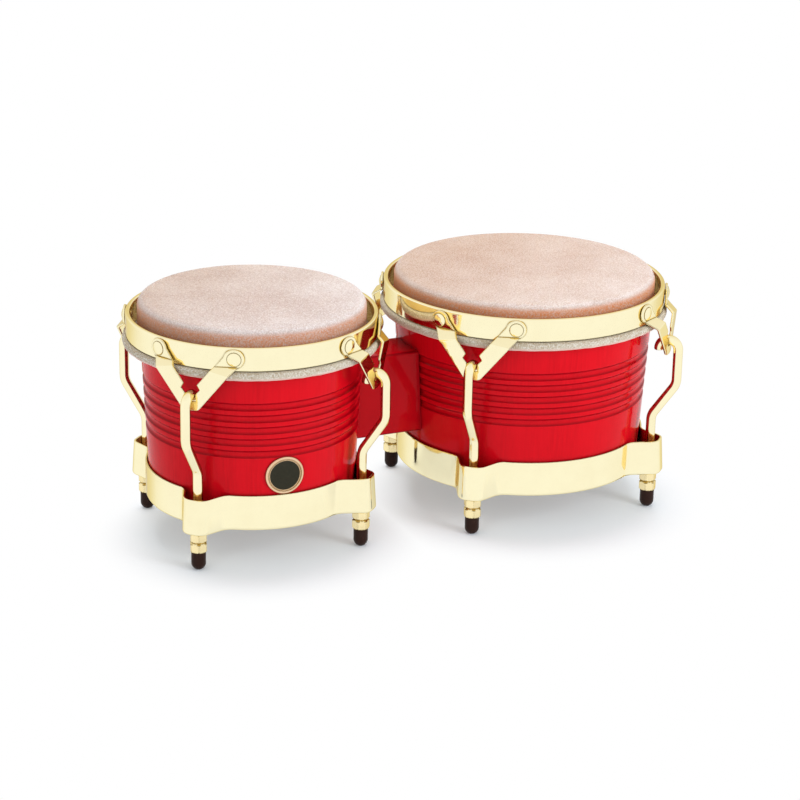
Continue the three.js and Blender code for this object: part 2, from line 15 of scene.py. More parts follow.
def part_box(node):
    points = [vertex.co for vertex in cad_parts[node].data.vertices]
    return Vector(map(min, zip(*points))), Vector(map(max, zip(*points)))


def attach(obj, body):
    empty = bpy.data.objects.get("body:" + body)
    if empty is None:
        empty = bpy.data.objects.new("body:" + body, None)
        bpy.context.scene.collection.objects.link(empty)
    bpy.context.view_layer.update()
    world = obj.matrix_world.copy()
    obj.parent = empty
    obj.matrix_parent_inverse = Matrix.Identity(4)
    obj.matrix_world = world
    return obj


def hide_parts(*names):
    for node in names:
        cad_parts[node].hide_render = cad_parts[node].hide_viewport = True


bl_info = {
    "name": "Bongo drums",
    "version": (1, 0, 0),
    "blender": (4, 5, 0),
    "location": "View3D > Sidebar > Bongos",
    "description": "Builds a dressed pair of bongo drums around their packed frame",
    "category": "Add Mesh",
}

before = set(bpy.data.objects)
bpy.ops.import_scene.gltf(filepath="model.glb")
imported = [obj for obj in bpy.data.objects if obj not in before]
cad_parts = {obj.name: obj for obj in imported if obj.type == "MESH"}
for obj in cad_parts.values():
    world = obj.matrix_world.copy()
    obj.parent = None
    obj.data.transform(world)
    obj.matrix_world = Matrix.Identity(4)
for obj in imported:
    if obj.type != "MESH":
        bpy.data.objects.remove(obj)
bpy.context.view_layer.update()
MM = 0.001
DRUMS = ("small", "large")
PLACES = ("back_right", "back_left", "front_left", "front_right")


# Sizes and colours that a user would change


def length(name, description, millimetres):
    """A length property, whose default is written in millimetres."""
    return bpy.props.FloatProperty(
        name=name,
        description=description,
        default=millimetres * MM,
        min=0.0,
        subtype="DISTANCE",
        unit="LENGTH",
    )


def angle(name, description, degrees):
    """An angle property, whose default is written in degrees."""
    return bpy.props.FloatProperty(
        name=name,
        description=description,
        default=math.radians(degrees),
        subtype="ANGLE",
        unit="ROTATION",
    )


def share(name, description, default, high=1.0):
    """A plain factor property."""
    return bpy.props.FloatProperty(
        name=name,
        description=description,
        default=default,
        min=0.0,
        max=high,
        subtype="FACTOR",
    )


def colour(name, description, default):
    """A colour property."""
    return bpy.props.FloatVectorProperty(
        name=name,
        description=description,
        default=default,
        size=3,
        min=0.0,
        max=1.0,
        subtype="COLOR",
    )


class BongoWoodSizes(bpy.types.PropertyGroup):
    """Sizes of the shells and the block."""

    wall: length("Shell wall", "Thickness of the stave wall", 9)
    groove_pitch: length("Groove pitch", "Height from one turned groove to the next", 9.9)
    groove_width: length("Groove width", "Width of a turned groove at the surface", 6.4)
    groove_depth: length("Groove depth", "Depth of a turned groove", 1.9)
    lowest_groove: length("Lowest groove", "Height of the lowest groove", 95.3)
    block_edge: length("Block edge", "Rounding along the block's long edges", 2.5)


class BongoHideSizes(bpy.types.PropertyGroup):
    """Sizes of the heads and the flesh hoops."""

    thickness: length("Hide thickness", "Thickness of the stretched hide", 1.2)
    shoulder: length("Shoulder radius", "Rounding where the head turns down", 7)
    unevenness: length("Unevenness", "How far the tucked hoop wanders from true", 0.35)


class BongoHardwareSizes(bpy.types.PropertyGroup):
    """Sizes of the plated hardware."""

    rim_edge: length("Rim edge", "Rounding along the top edge of the rim", 1.8)
    sheet: length("Link sheet", "Thickness of the pressed link", 2)
    strap: length("Strap width", "Width of each arm of the link", 13.8)
    slope: angle("Strap slope", "Slant of each arm from upright", 39)
    pad: length("Pad radius", "Radius of the link's ends round their rivets", 7.8)
    spread: length("Rivet spread", "Distance of each rivet from the lug's middle", 31.8)
    rivet_drop: length("Rivet drop", "Depth of the rivets below the rim's top", 8.6)
    link_depth: length("Link depth", "Depth of the link's foot below its rivets", 42.2)
    fold: angle("Link fold", "How far each arm is folded back from the hook's plane", 5)
    step_drop: length("Step drop", "Depth of the link's step below its rivets", 6.2)
    step_lean: angle("Step lean", "Slant of the link's step from upright", 52)
    edge_round: length("Edge round", "Tumbled rounding along the link's edges", 0.6)
    rod_radius: length("Rod radius", "Radius of the hook rod", 3.95)
    crank: length("Crank", "How far the rod steps out between its knees", 19.6)
    hook: length("Hook radius", "Radius of the hook's middle line", 8.1)
    pitch: length("Thread pitch", "Rise of the rod's thread in one turn", 1.27)
    flats: length("Across flats", "Width of the tuning nut", 12.7)
    band_sheet: length("Band sheet", "Thickness of the bottom band", 1.8)
    ear_reach: length("Ear reach", "How far the top of each ear stands out past the rod", 9.3)
    ear_lean: length("Ear lean", "How much farther out the bottom of each ear stands", 1.9)


class BongoFinishes(bpy.types.PropertyGroup):
    """Colours of the finishes."""

    lacquer: colour("Lacquer", "Lit colour of the red stain under the clear coat", (0.70, 0.004, 0.012))
    # Painted shade: a darker copy of the lacquer for the block, which sits in shade between the drums.
    block_shaded_lacquer: colour("Block lacquer", "Darker red painted on the centre block as shade", (0.52, 0.003, 0.009))
    lacquer_grain: colour("Grain", "Darker grain in the red stain", (0.44, 0.002, 0.006))
    # Painted shade: deep red painted into grooves, onto groove flanks and into corners.
    lacquer_groove_shade: colour("Painted groove shade", "Deep red painted into grooves, their flanks and corners", (0.13, 0.0, 0.004))
    gold: colour("Gold plate", "Colour of the polished plating", (1.0, 0.93, 0.63))
    nut_gold: colour("Nut plate", "Colour of the duller plating on the nuts", (1.0, 0.86, 0.50))
    small_hide: colour("Small head", "Colour of the small head", (0.565, 0.497, 0.48))
    large_hide: colour("Large head", "Colour of the large head", (0.555, 0.432, 0.372))
    # Darker, warmer tint that the heads take towards their back left.
    hide_back_left_tint: colour("Back left tint", "Tint towards the back left of a head", (0.83, 0.74, 0.655))
    hide_side: colour("Head side", "Colour of the head where it turns down", (0.64, 0.235, 0.095))
    hoop: colour("Tucked hoop", "Colour of the hide round the flesh hoop", (0.50, 0.445, 0.30))
    hoop_lip: colour("Hoop lip", "Colour along the hoop's lower edge", (0.74, 0.50, 0.42))
    rubber: colour("Rubber", "Colour of the feet", (0.022, 0.008, 0.005))
    steel: colour("Steel", "Colour of the bolts and plates inside", (0.58, 0.58, 0.59))
    medal: colour("Medal", "Colour of the medal's ring", (0.90, 0.64, 0.42))
    medal_face: colour("Medal face", "Colour of the medal's darkened middle", (0.014, 0.013, 0.006))


class BongoStudio(bpy.types.PropertyGroup):
    """The camera and the lights."""

    azimuth: angle("Azimuth", "Camera's turn round the drums", -23.75)
    elevation: angle("Elevation", "Camera's height above the horizon", 19.02)
    roll: angle("Roll", "Camera's lean", 0.82)
    distance: length("Distance", "Camera's distance from its target", 2124.9)
    focal: bpy.props.FloatProperty(
        name="Focal length",
        description="Focal length on a 36 mm sensor",
        default=108.99,
        unit="CAMERA",
    )
    key: bpy.props.FloatProperty(
        name="Key light",
        description="Power of the large soft light over the drums",
        default=20.0,
        unit="POWER",
    )
    side: bpy.props.FloatProperty(
        name="Side lights",
        description="Power of each tall soft light beside the drums",
        default=10.5,
        unit="POWER",
    )
    fill: share("Fill", "Strength of the even light from all round", 0.5, 2.0)


# Sizes of the packed solids that their boxes don't show

GAP = 0.3 * MM
RIM_WALL = 4 * MM
TAPERS = {"small": math.radians(2.7), "large": math.radians(3.4)}
TAPER_TOPS = {"small": 178 * MM, "large": 150 * MM}
GROOVES = 5
EDGE_DROP = 3.5 * MM
LINK = SimpleNamespace(
    web_height=7.45 * MM,
    slot_half_width=4.4 * MM,
    slot_height=5.75 * MM,
    notch_half_width=8 * MM,
    notch_middle=9.55 * MM,
    notch_top=13.45 * MM,
)
ROD = SimpleNamespace(lower_knee=81.5 * MM, upper_knee=111 * MM, tail=1.5 * MM, thread_top=47 * MM)
FOOT = SimpleNamespace(height=14.8 * MM, plug_radius=3.6 * MM, flat_radius=2 * MM)
BAND = SimpleNamespace(curl=2.6 * MM, ledge=9 * MM)
EAR = SimpleNamespace(half_width=8 * MM, side_slope=math.radians(25), base_round=7 * MM, front_round=6 * MM)
MEDAL = SimpleNamespace(turn=math.radians(-93.7), radius=15.6 * MM, dark_radius=12.25 * MM)


# What the packed frame says about each drum


def measure(name):
    """Reads one drum's places and radii off the boxes of its solids."""
    shell_low, shell_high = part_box(f"{name}_shell")
    head_low, head_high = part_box(f"{name}_head_skin")
    rim_low, rim_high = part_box(f"{name}_rim")
    hoop_low, hoop_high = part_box(f"{name}_flesh_hoop")
    band_low, band_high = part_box(f"{name}_bottom_band")
    rods = {}
    for place in PLACES:
        low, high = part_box(f"{name}_tuning_nut_{place}")
        rods[place] = (low + high) / 2
    centre = (shell_low + shell_high) / 2
    lugs = {place: math.atan2(at.y, at.x - centre.x) for place, at in rods.items()}
    return SimpleNamespace(
        name=name,
        x=centre.x,
        shell_top=shell_high.z,
        shell_bottom=shell_low.z,
        shell_radius=(shell_high.x - shell_low.x) / 2,
        taper=TAPERS[name],
        taper_top=TAPER_TOPS[name],
        head_radius=(head_high.x - head_low.x) / 2,
        head_top=head_high.z,
        head_bottom=head_low.z,
        rim_outer=(rim_high.x - rim_low.x) / 2,
        rim_top=rim_high.z,
        rim_bottom=rim_low.z,
        hoop_outer=(hoop_high.x - hoop_low.x) / 2,
        hoop_top=hoop_high.z,
        hoop_bottom=hoop_low.z,
        band_top=band_high.z,
        band_bottom=band_low.z,
        rod_circle=math.hypot(rods["back_right"].x - centre.x, rods["back_right"].y),
        lugs=lugs,
    )


BONGOS = {name: measure(name) for name in DRUMS}


def shell_radius_at(drum, z):
    """Outside radius of the tapered shell at a height."""
    return drum.shell_radius - max(drum.taper_top - z, 0) * math.tan(drum.taper)


# Mesh tools


def new_piece(name, vertices, faces, materials, body, replaced=(), sharp=math.radians(40)):
    """Makes a clean smooth piece from points and faces and rides it on its body."""
    mesh = bpy.data.meshes.new(name)
    mesh.from_pydata([tuple(v) for v in vertices], [], faces)
    cleaned = bmesh.new()
    cleaned.from_mesh(mesh)
    bmesh.ops.remove_doubles(cleaned, verts=cleaned.verts, dist=1e-6)
    bmesh.ops.dissolve_degenerate(cleaned, edges=cleaned.edges, dist=1e-7)
    bmesh.ops.recalc_face_normals(cleaned, faces=cleaned.faces)
    cleaned.to_mesh(mesh)
    cleaned.free()
    mesh.shade_smooth()
    mesh.set_sharp_from_angle(angle=sharp)
    for material in materials:
        mesh.materials.append(material)
    piece = bpy.data.objects.new(name, mesh)
    bpy.context.scene.collection.objects.link(piece)
    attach(piece, body)
    if replaced:
        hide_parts(*replaced)
    return piece


def arc(centre, radius, start, sweep, steps):
    """Points of a circular arc in a plane."""
    turns = [start + sweep * i / steps for i in range(steps + 1)]
    return [Vector((centre[0] + radius * math.cos(t), centre[1] + radius * math.sin(t))) for t in turns]


def fillet(before, corner, after, radius, steps):
    """Points that round one corner of an outline with an arc."""
    to_before = (before - corner).normalized()
    to_after = (after - corner).normalized()
    half = math.acos(max(-1.0, min(1.0, to_before.dot(to_after)))) / 2
    if radius <= 0 or half > math.radians(89.5):
        return [corner]
    centre = corner + (to_before + to_after).normalized() * (radius / math.sin(half))
    start = corner + to_before * (radius / math.tan(half)) - centre
    end = corner + to_after * (radius / math.tan(half)) - centre
    first = math.atan2(start.y, start.x)
    sweep = (math.atan2(end.y, end.x) - first + math.pi) % (2 * math.pi) - math.pi
    return arc(centre, radius, first, sweep, steps)


def rounded(corners, steps=5, closed=True):
    """An outline through (x, y, radius) corners, each rounded by its radius."""
    points = [Vector(corner[:2]) for corner in corners]
    outline = []
    for i, corner in enumerate(corners):
        if not closed and i in (0, len(corners) - 1):
            outline.append(points[i])
            continue
        after = points[(i + 1) % len(points)]
        outline += fillet(points[i - 1], points[i], after, corner[2], steps)
    return outline


def densify(outline, step, closed=True):
    """Adds points so that none is further than a step from the next."""
    result = []
    last = len(outline) if closed else len(outline) - 1
    for i in range(last):
        here = outline[i]
        there = outline[(i + 1) % len(outline)]
        pieces = max(1, math.ceil((there - here).length / step))
        result += [here.lerp(there, k / pieces) for k in range(pieces)]
    if not closed:
        result.append(outline[-1])
    return result


def held(outline):
    """Adds points just inside the ends of long flat stretches, so that they shade flat."""
    points = []
    for i, point in enumerate(outline):
        after = outline[(i + 1) % len(outline)]
        step = after - point
        points.append(point)
        if step.length > 3 * MM:
            short = step.normalized() * 0.8 * MM
            points += [point + short, after - short]
    return points


def strips(rings, size, closed):
    """Quads that join rings of equal size, each ring closed on itself."""
    faces = []
    spans = rings if closed else rings - 1
    for i in range(spans):
        here = i * size
        there = ((i + 1) % rings) * size
        for k in range(size):
            after = (k + 1) % size
            faces.append((here + k, here + after, there + after, there + k))
    return faces


def lathe(profile, segments=160, x=0.0, wander=None):
    """Turns a closed (radius, z) profile about a drum's axis."""
    vertices = []
    for i in range(segments):
        turn = 2 * math.pi * i / segments
        for radius, z in profile:
            if wander:
                radius, z = wander(radius, z, turn)
            vertices.append((x + radius * math.cos(turn), radius * math.sin(turn), z))
    return vertices, strips(segments, len(profile), True)


def placed(vertices, matrix):
    return [matrix @ Vector(v) for v in vertices]


def joined(parts):
    """Several vertex and face lists as one."""
    vertices = []
    faces = []
    for part_vertices, part_faces in parts:
        start = len(vertices)
        vertices += [Vector(v) for v in part_vertices]
        faces += [tuple(start + k for k in face) for face in part_faces]
    return vertices, faces


def lug_matrix(drum, place):
    """Turns the lug's own frame, with x out along the lug, into the row frame."""
    return Matrix.Translation((drum.x, 0, 0)) @ Matrix.Rotation(drum.lugs[place], 4, "Z")


def outward(turn, height, reach):
    """Points a body made along z out along a lug-frame direction."""
    spin = Matrix.Rotation(turn, 4, "Z") @ Matrix.Rotation(math.pi / 2, 4, "Y")
    return Matrix.Translation((0, 0, height)) @ spin @ Matrix.Translation((0, 0, reach))


# Material tools


def fill(tree, made, inputs):
    """Links the sockets that are given to a node's inputs, and sets the plain values."""
    for key, value in inputs.items():
        if isinstance(value, bpy.types.NodeSocket):
            tree.links.new(value, made.inputs[key])
        else:
            made.inputs[key].default_value = value
    return made


def node(tree, kind, inputs=None, **settings):
    """Adds a shader node with its settings and its inputs."""
    made = tree.nodes.new(f"ShaderNode{kind}")
    for key, value in settings.items():
        setattr(made, key, value)
    return fill(tree, made, inputs or {})


def mix(tree, factor, first, second, blend="MIX"):
    """Mixes two colours."""
    made = node(tree, "Mix", {0: factor, 6: first, 7: second}, data_type="RGBA", blend_type=blend)
    return made.outputs[2]


def ramp(tree, value, stops):
    """A smooth ramp from (position, level) stops."""
    made = node(tree, "ValToRGB", {0: value})
    elements = made.color_ramp.elements
    while len(elements) < len(stops):
        elements.new(0.5)
    for element, (position, level) in zip(elements, stops):
        element.position = position
        element.color = (*(level if hasattr(level, "__len__") else (level,) * 3), 1)
    return made.outputs[0]


def math_node(tree, operation, first, second=0.0):
    return node(tree, "Math", {0: first, 1: second}, operation=operation).outputs[0]


def times(tree, first, second):
    return math_node(tree, "MULTIPLY", first, second)


def vector_node(tree, operation, first, second):
    return node(tree, "VectorMath", {0: first, 1: second}, operation=operation)


def object_place(tree):
    """Place on the piece, in the frame's metres."""
    return node(tree, "TexCoord").outputs["Object"]


def up_share(tree, vector):
    """The upright share of a place or a direction."""
    return node(tree, "SeparateXYZ", {0: vector}).outputs["Z"]


def noise_level(tree, place, scale, detail, roughness=0.5):
    """Level of a noise texture at a place."""
    inputs = {"Vector": place, "Scale": scale, "Detail": detail, "Roughness": roughness}
    return node(tree, "TexNoise", inputs).outputs[0]


def openness(tree, distance):
    """One on open surface, less in corners nearer than a distance."""
    return node(tree, "AmbientOcclusion", {"Distance": distance}, samples=8).outputs["AO"]


def bumped(tree, strength, distance, height):
    """The surface's direction, tipped by a height."""
    return node(tree, "Bump", {"Strength": strength, "Distance": distance, "Height": height}).outputs[0]


def glossy_ray(tree):
    """One where a reflection looks at the surface."""
    return node(tree, "LightPath").outputs["Is Glossy Ray"]


def new_group(name, inputs, outputs):
    """A shader group with named sockets, and its input and output nodes."""
    tree = bpy.data.node_groups.new(name, "ShaderNodeTree")
    for title, kind, default in inputs:
        socket = tree.interface.new_socket(title, in_out="INPUT", socket_type=f"NodeSocket{kind}")
        socket.default_value = default
    for title, kind in outputs:
        tree.interface.new_socket(title, in_out="OUTPUT", socket_type=f"NodeSocket{kind}")
    return tree, tree.nodes.new("NodeGroupInput"), tree.nodes.new("NodeGroupOutput")


def use_group(tree, name, inputs):
    """Places a shared group in a tree, with its own values."""
    made = tree.nodes.new("ShaderNodeGroup")
    made.node_tree = GROUPS[name]()
    return fill(tree, made, inputs)


def rgba(value):
    return (*value, 1.0)


def once(make):
    """Keeps the first result of a maker, so a group or material is built only once."""
    kept = {}

    def maker(*key):
        if key not in kept:
            kept[key] = make(*key)
        return kept[key]

    return maker


@once
def wood_grain():
    """Fine upright grain and slow clouding of stained wood."""
    tree, given, result = new_group(
        "upright_grain",
        [("Lit", "Color", (0.6, 0.01, 0.02, 1)), ("Grain", "Color", (0.3, 0.0, 0.01, 1))],
        [("Color", "Color"), ("Height", "Float")],
    )
    place = object_place(tree)
    scaled = node(tree, "Mapping", {"Vector": place, "Scale": (1.0, 1.0, 0.045)}).outputs[0]
    fine = noise_level(tree, scaled, 620.0, 4.0, 0.6)
    broad = noise_level(tree, scaled, 90.0, 3.0)
    cloud = noise_level(tree, place, 9.0, 2.0)
    streak = ramp(tree, fine, [(0.38, 1.0), (0.66, 0.0)])
    figure = ramp(tree, broad, [(0.35, 0.06), (0.7, 0.34)])
    amount = math_node(tree, "ADD", times(tree, streak, figure), times(tree, cloud, 0.25))
    stained = mix(tree, amount, given.outputs["Lit"], given.outputs["Grain"])
    fill(tree, result, {"Color": stained, "Height": fine})
    return tree


@once
def polish():
    """Faint ripple, smears and flecks of polished plate, with painted shade in creases and along edges and
    bends, and a painted deeper-gold reflection on surfaces that face up.
    """
    tree, given, result = new_group(
        "polished_plate",
        [
            ("Colour", "Color", (1, 0.8, 0.4, 1)),
            ("Roughness", "Float", 0.08),
            ("Smear", "Float", 0.05),
            ("Ripple", "Float", 0.02),
        ],
        [("Color", "Color"), ("Roughness", "Float"), ("Normal", "Vector")],
    )
    place = object_place(tree)
    smear = noise_level(tree, place, 38.0, 5.0, 0.65)
    pits = noise_level(tree, place, 900.0, 2.0)
    ripple = noise_level(tree, place, 55.0, 1.0)
    spread = times(tree, ramp(tree, smear, [(0.35, 0.0), (0.75, 1.0)]), given.outputs["Smear"])
    fleck = times(tree, ramp(tree, pits, [(0.62, 0.0), (0.8, 1.0)]), given.outputs["Smear"])
    rough = math_node(tree, "ADD", math_node(tree, "ADD", given.outputs["Roughness"], spread), fleck)
    worn = times(tree, spread, 2.0)
    tint = mix(tree, worn, given.outputs["Colour"], (0.62, 0.42, 0.16, 1), "MULTIPLY")
    # Painted shade: dark lines in creases, found by occlusion, and along edges and bends, found where a
    # softened normal turns away from the surface's own.
    crease = ramp(tree, openness(tree, 2 * MM), [(0.3, 0.92), (0.9, 0.0)])
    flat = node(tree, "NewGeometry").outputs["Normal"]
    eased = node(tree, "Bevel", {"Radius": 1.3 * MM}, samples=8).outputs[0]
    level = vector_node(tree, "DOT_PRODUCT", flat, eased).outputs["Value"]
    turn = ramp(tree, level, [(0.945, 0.85), (0.992, 0.0)])
    # Painted reflection: surfaces that face upwards turn a deeper gold.
    painted_upward_reflection = ramp(tree, up_share(tree, flat), [(0.5, 0.0), (0.8, 0.2), (1.0, 0.5)])
    tint = mix(tree, painted_upward_reflection, tint, (0.70, 0.48, 0.10, 1))
    # The painted shade turns creases, edges and bends deep brown.
    tint = mix(tree, math_node(tree, "MAXIMUM", crease, turn), tint, (0.16, 0.10, 0.02, 1))
    normal = bumped(tree, given.outputs["Ripple"], 10 * MM, ripple)
    fill(tree, result, {"Color": tint, "Roughness": rough, "Normal": normal})
    return tree


@once
def hide_speckle():
    """Clouding, pores and pale fibres of dried hide."""
    tree, given, result = new_group(
        "dried_hide",
        [
            ("Colour", "Color", (0.8, 0.7, 0.6, 1)),
            ("Mottle", "Float", 0.5),
            ("Scale", "Float", 1.0),
        ],
        [("Color", "Color"), ("Height", "Float")],
    )
    place = object_place(tree)
    scaled = {0: place, 3: given.outputs["Scale"]}
    placed_at = node(tree, "VectorMath", scaled, operation="SCALE").outputs[0]
    cloud = noise_level(tree, placed_at, 22.0, 6.0, 0.7)
    patch = noise_level(tree, placed_at, 7.0, 3.0)
    grit = noise_level(tree, placed_at, 820.0, 2.0, 0.6)
    fleck = noise_level(tree, placed_at, 960.0, 1.0, 0.6)
    light = mix(tree, 0.55, given.outputs["Colour"], (0.94, 0.92, 0.92, 1))
    dark = mix(tree, 0.5, given.outputs["Colour"], (0.34, 0.17, 0.10, 1))
    clouding = ramp(tree, cloud, [(0.3, 0.0), (0.7, 1.0)])
    soft = mix(tree, 0.5, given.outputs["Colour"], mix(tree, clouding, dark, light))
    warm = times(tree, ramp(tree, patch, [(0.45, 0.0), (0.75, 1.0)]), 0.45)
    soft = mix(tree, warm, soft, (0.62, 0.38, 0.26, 1), "MULTIPLY")
    pores = times(tree, ramp(tree, grit, [(0.36, 1.0), (0.52, 0.0)]), given.outputs["Mottle"])
    base = mix(tree, pores, soft, dark)
    fibres = times(tree, ramp(tree, fleck, [(0.5, 0.0), (0.62, 0.8)]), given.outputs["Mottle"])
    fill(tree, result, {"Color": mix(tree, fibres, base, light), "Height": grit})
    return tree


GROUPS = {"wood_grain": wood_grain, "polish": polish, "hide_speckle": hide_speckle}


def new_material(name):
    """A material with one Principled shader, returned with its tree."""
    material = bpy.data.materials.new(name)
    material.use_nodes = True
    tree = material.node_tree
    return material, tree, tree.nodes["Principled BSDF"]


@once
def red_lacquer(name):
    """Deep red stain with fine grain under a thick clear coat; painted shade darkens corners, grooves, groove
    flanks and the whole block, and a painted reflection darkens it where it is seen in other surfaces.
    """
    finishes = bpy.context.scene.bongo_finishes
    material, tree, shader = new_material(name)
    # The block takes a darker red as painted shade between the drums.
    stain_and_block_shade = finishes.block_shaded_lacquer if name.startswith("block") else finishes.lacquer
    grain = use_group(tree, "wood_grain", {"Lit": rgba(stain_and_block_shade), "Grain": rgba(finishes.lacquer_grain)})
    # Painted shade: deep red in corners and grooves, found by occlusion, and on groove flanks, found from how
    # steeply the surface faces up or down.
    painted_groove_shade = ramp(tree, openness(tree, 5 * MM), [(0.6, 0.4), (0.95, 0.0)])
    facing = node(tree, "TexCoord").outputs["Normal"]
    slope = math_node(tree, "ABSOLUTE", up_share(tree, facing))
    painted_flank_shade = ramp(tree, slope, [(0.2, 0.0), (0.65, 0.55), (0.9, 0.55), (0.97, 0.0)])
    painted_groove_shade = math_node(tree, "MAXIMUM", painted_groove_shade, painted_flank_shade)
    base = mix(tree, painted_groove_shade, grain.outputs["Color"], rgba(finishes.lacquer_groove_shade))
    # Painted reflection: the lacquer shows a darker red where it is seen in a reflection.
    base = mix(tree, times(tree, glossy_ray(tree), 0.6), base, (0.12, 0.002, 0.003, 1))
    fill(tree, shader, {
        "Base Color": base,
        "Normal": bumped(tree, 0.03, 0.5 * MM, grain.outputs["Height"]),
        "Roughness": 0.5,
        "Specular IOR Level": 0.0,
        "Coat Weight": 0.8,
        "Coat Roughness": 0.03,
        "Coat IOR": 1.2,
    })
    return material


@once
def raw_wood():
    """Pale unfinished wood inside the shells."""
    material, tree, shader = new_material("bare_inner_wood")
    grain = use_group(tree, "wood_grain", {"Lit": (0.62, 0.42, 0.24, 1), "Grain": (0.42, 0.25, 0.12, 1)})
    fill(tree, shader, {
        "Base Color": grain.outputs["Color"],
        "Normal": bumped(tree, 0.25, 0.8 * MM, grain.outputs["Height"]),
        "Roughness": 0.72,
    })
    return material


@once
def plate(name, tint, roughness, smear, ripple):
    """Polished plating, with a painted reflection that makes it darker and warmer at a grazing angle and
    plain, less mirror-like gold where it is seen in other plating.
    """
    material, tree, shader = new_material(name)
    values = {"Colour": rgba(tint), "Roughness": roughness, "Smear": smear, "Ripple": ripple}
    finish = use_group(tree, "polish", values)
    # Painted reflection: the plating turns darker and warmer towards a grazing angle.
    facing = node(tree, "LayerWeight", {"Blend": 0.5}).outputs["Facing"]
    stops = [(0.6, (1, 1, 1)), (0.82, (0.92, 0.86, 0.66)), (0.97, (0.36, 0.26, 0.09))]
    base = mix(tree, 1.0, finish.outputs["Color"], ramp(tree, facing, stops), "MULTIPLY")
    # Painted reflection: seen in other plating, this plating shows as a plain, less mirror-like gold.
    mirrored = glossy_ray(tree)
    fill(tree, shader, {
        "Base Color": mix(tree, times(tree, mirrored, 0.9), base, (1.0, 0.76, 0.28, 1)),
        "Metallic": math_node(tree, "SUBTRACT", 1.0, times(tree, mirrored, 0.8)),
        "Roughness": finish.outputs["Roughness"],
        "Specular Tint": (0.85, 0.76, 0.5, 1),
        "Normal": finish.outputs["Normal"],
    })
    return material


def gold_plate():
    """Pale mirror plating of the rims, links, rods and bands."""
    return plate("pale_gold_plate", tuple(bpy.context.scene.bongo_finishes.gold), 0.05, 0.04, 0.012)


def nut_plate():
    """Duller plating of the tuning nuts."""
    return plate("dull_gold_plate", tuple(bpy.context.scene.bongo_finishes.nut_gold), 0.14, 0.08, 0.03)


@once
def head_hide(name):
    """Stretched hide, darker and warmer towards the back left, with a painted sheen along the shoulder, and
    darker where it turns down.
    """
    finishes = bpy.context.scene.bongo_finishes
    drum = BONGOS[name]
    material, tree, shader = new_material(f"{name}_stretched_hide")
    tint = finishes.small_hide if name == "small" else finishes.large_hide
    side_share = 0.8 if name == "small" else 1.0
    hide = use_group(tree, "hide_speckle", {"Colour": rgba(tint), "Mottle": 0.8, "Scale": 1.0})
    grit = hide.outputs["Height"]
    place = object_place(tree)
    # The head turns darker and warmer towards its back left.
    middle_out = vector_node(tree, "SUBTRACT", place, (drum.x, 0, 0)).outputs[0]
    back_left = vector_node(tree, "DOT_PRODUCT", middle_out, (-0.5, 0.86, 0)).outputs["Value"]
    across = {"Value": back_left, "From Min": -90 * MM, "From Max": 70 * MM}
    back_left_tint = mix(tree, node(tree, "MapRange", across).outputs[0], (1, 1, 1, 1), rgba(finishes.hide_back_left_tint))
    base = mix(tree, 1.0, hide.outputs["Color"], back_left_tint, "MULTIPLY")
    drop = math_node(tree, "SUBTRACT", drum.head_top, up_share(tree, place))
    down = math_node(tree, "DIVIDE", drop, 12 * MM)
    # Painted sheen: a paler band just below the top of the head, along the shoulder.
    painted_shoulder_sheen = times(tree, ramp(tree, down, [(0.0, 0.0), (0.1, 0.6), (0.3, 0.0)]), 0.25)
    base = mix(tree, painted_shoulder_sheen, base, (0.80, 0.78, 0.80, 1))
    frayed = times(tree, math_node(tree, "SUBTRACT", grit, 0.5), 0.6)
    side = ramp(tree, math_node(tree, "ADD", down, frayed), [(0.2, 0.0), (0.42, 1.0)])
    worn = ramp(tree, grit, [(0.4, side_share), (0.6, side_share * 0.45)])
    base = mix(tree, times(tree, side, worn), base, rgba(finishes.hide_side))
    fill(tree, shader, {
        "Base Color": base,
        "Normal": bumped(tree, 0.22, 0.4 * MM, grit),
        "Roughness": 0.6,
        "Specular IOR Level": 0.25,
        "Subsurface Weight": 0.08,
        "Subsurface Radius": (4 * MM, 2 * MM, 1 * MM),
    })
    return material


@once
def hoop_hide(name):
    """Grey tucked hide with a warmer lower lip."""
    finishes = bpy.context.scene.bongo_finishes
    drum = BONGOS[name]
    material, tree, shader = new_material(f"{name}_tucked_hide")
    hide = use_group(tree, "hide_speckle", {"Colour": rgba(finishes.hoop), "Mottle": 0.9, "Scale": 0.9})
    place = object_place(tree)
    rise = math_node(tree, "SUBTRACT", up_share(tree, place), drum.hoop_bottom)
    up = math_node(tree, "DIVIDE", rise, drum.hoop_top - drum.hoop_bottom)
    lip = ramp(tree, up, [(0.0, 1.0), (0.24, 0.9), (0.4, 0.0)])
    fill(tree, shader, {
        "Base Color": mix(tree, lip, hide.outputs["Color"], rgba(finishes.hoop_lip)),
        "Normal": bumped(tree, 0.6, 0.8 * MM, hide.outputs["Height"]),
        "Roughness": 0.7,
        "Specular IOR Level": 0.2,
    })
    return material


@once
def foot_rubber():
    """Very dark brown rubber with a moulded bloom."""
    material, tree, shader = new_material("dark_foot_rubber")
    place = object_place(tree)
    bloom = noise_level(tree, place, 160.0, 5.0)
    tint = rgba(bpy.context.scene.bongo_finishes.rubber)
    fill(tree, shader, {
        "Base Color": mix(tree, times(tree, bloom, 0.2), tint, (0.09, 0.05, 0.04, 1)),
        "Normal": bumped(tree, 0.15, 0.5 * MM, bloom),
        "Roughness": ramp(tree, bloom, [(0.3, 0.3), (0.8, 0.45)]),
        "Specular IOR Level": 0.1,
    })
    return material


def inner_steel():
    """Plain zinc on the bolts and plates inside."""
    return plate("zinc_steel", tuple(bpy.context.scene.bongo_finishes.steel), 0.3, 0.2, 0.05)


def medal_metal():
    """Satin metal of the medal's ring."""
    return plate("medal_metal", tuple(bpy.context.scene.bongo_finishes.medal), 0.3, 0.15, 0.03)


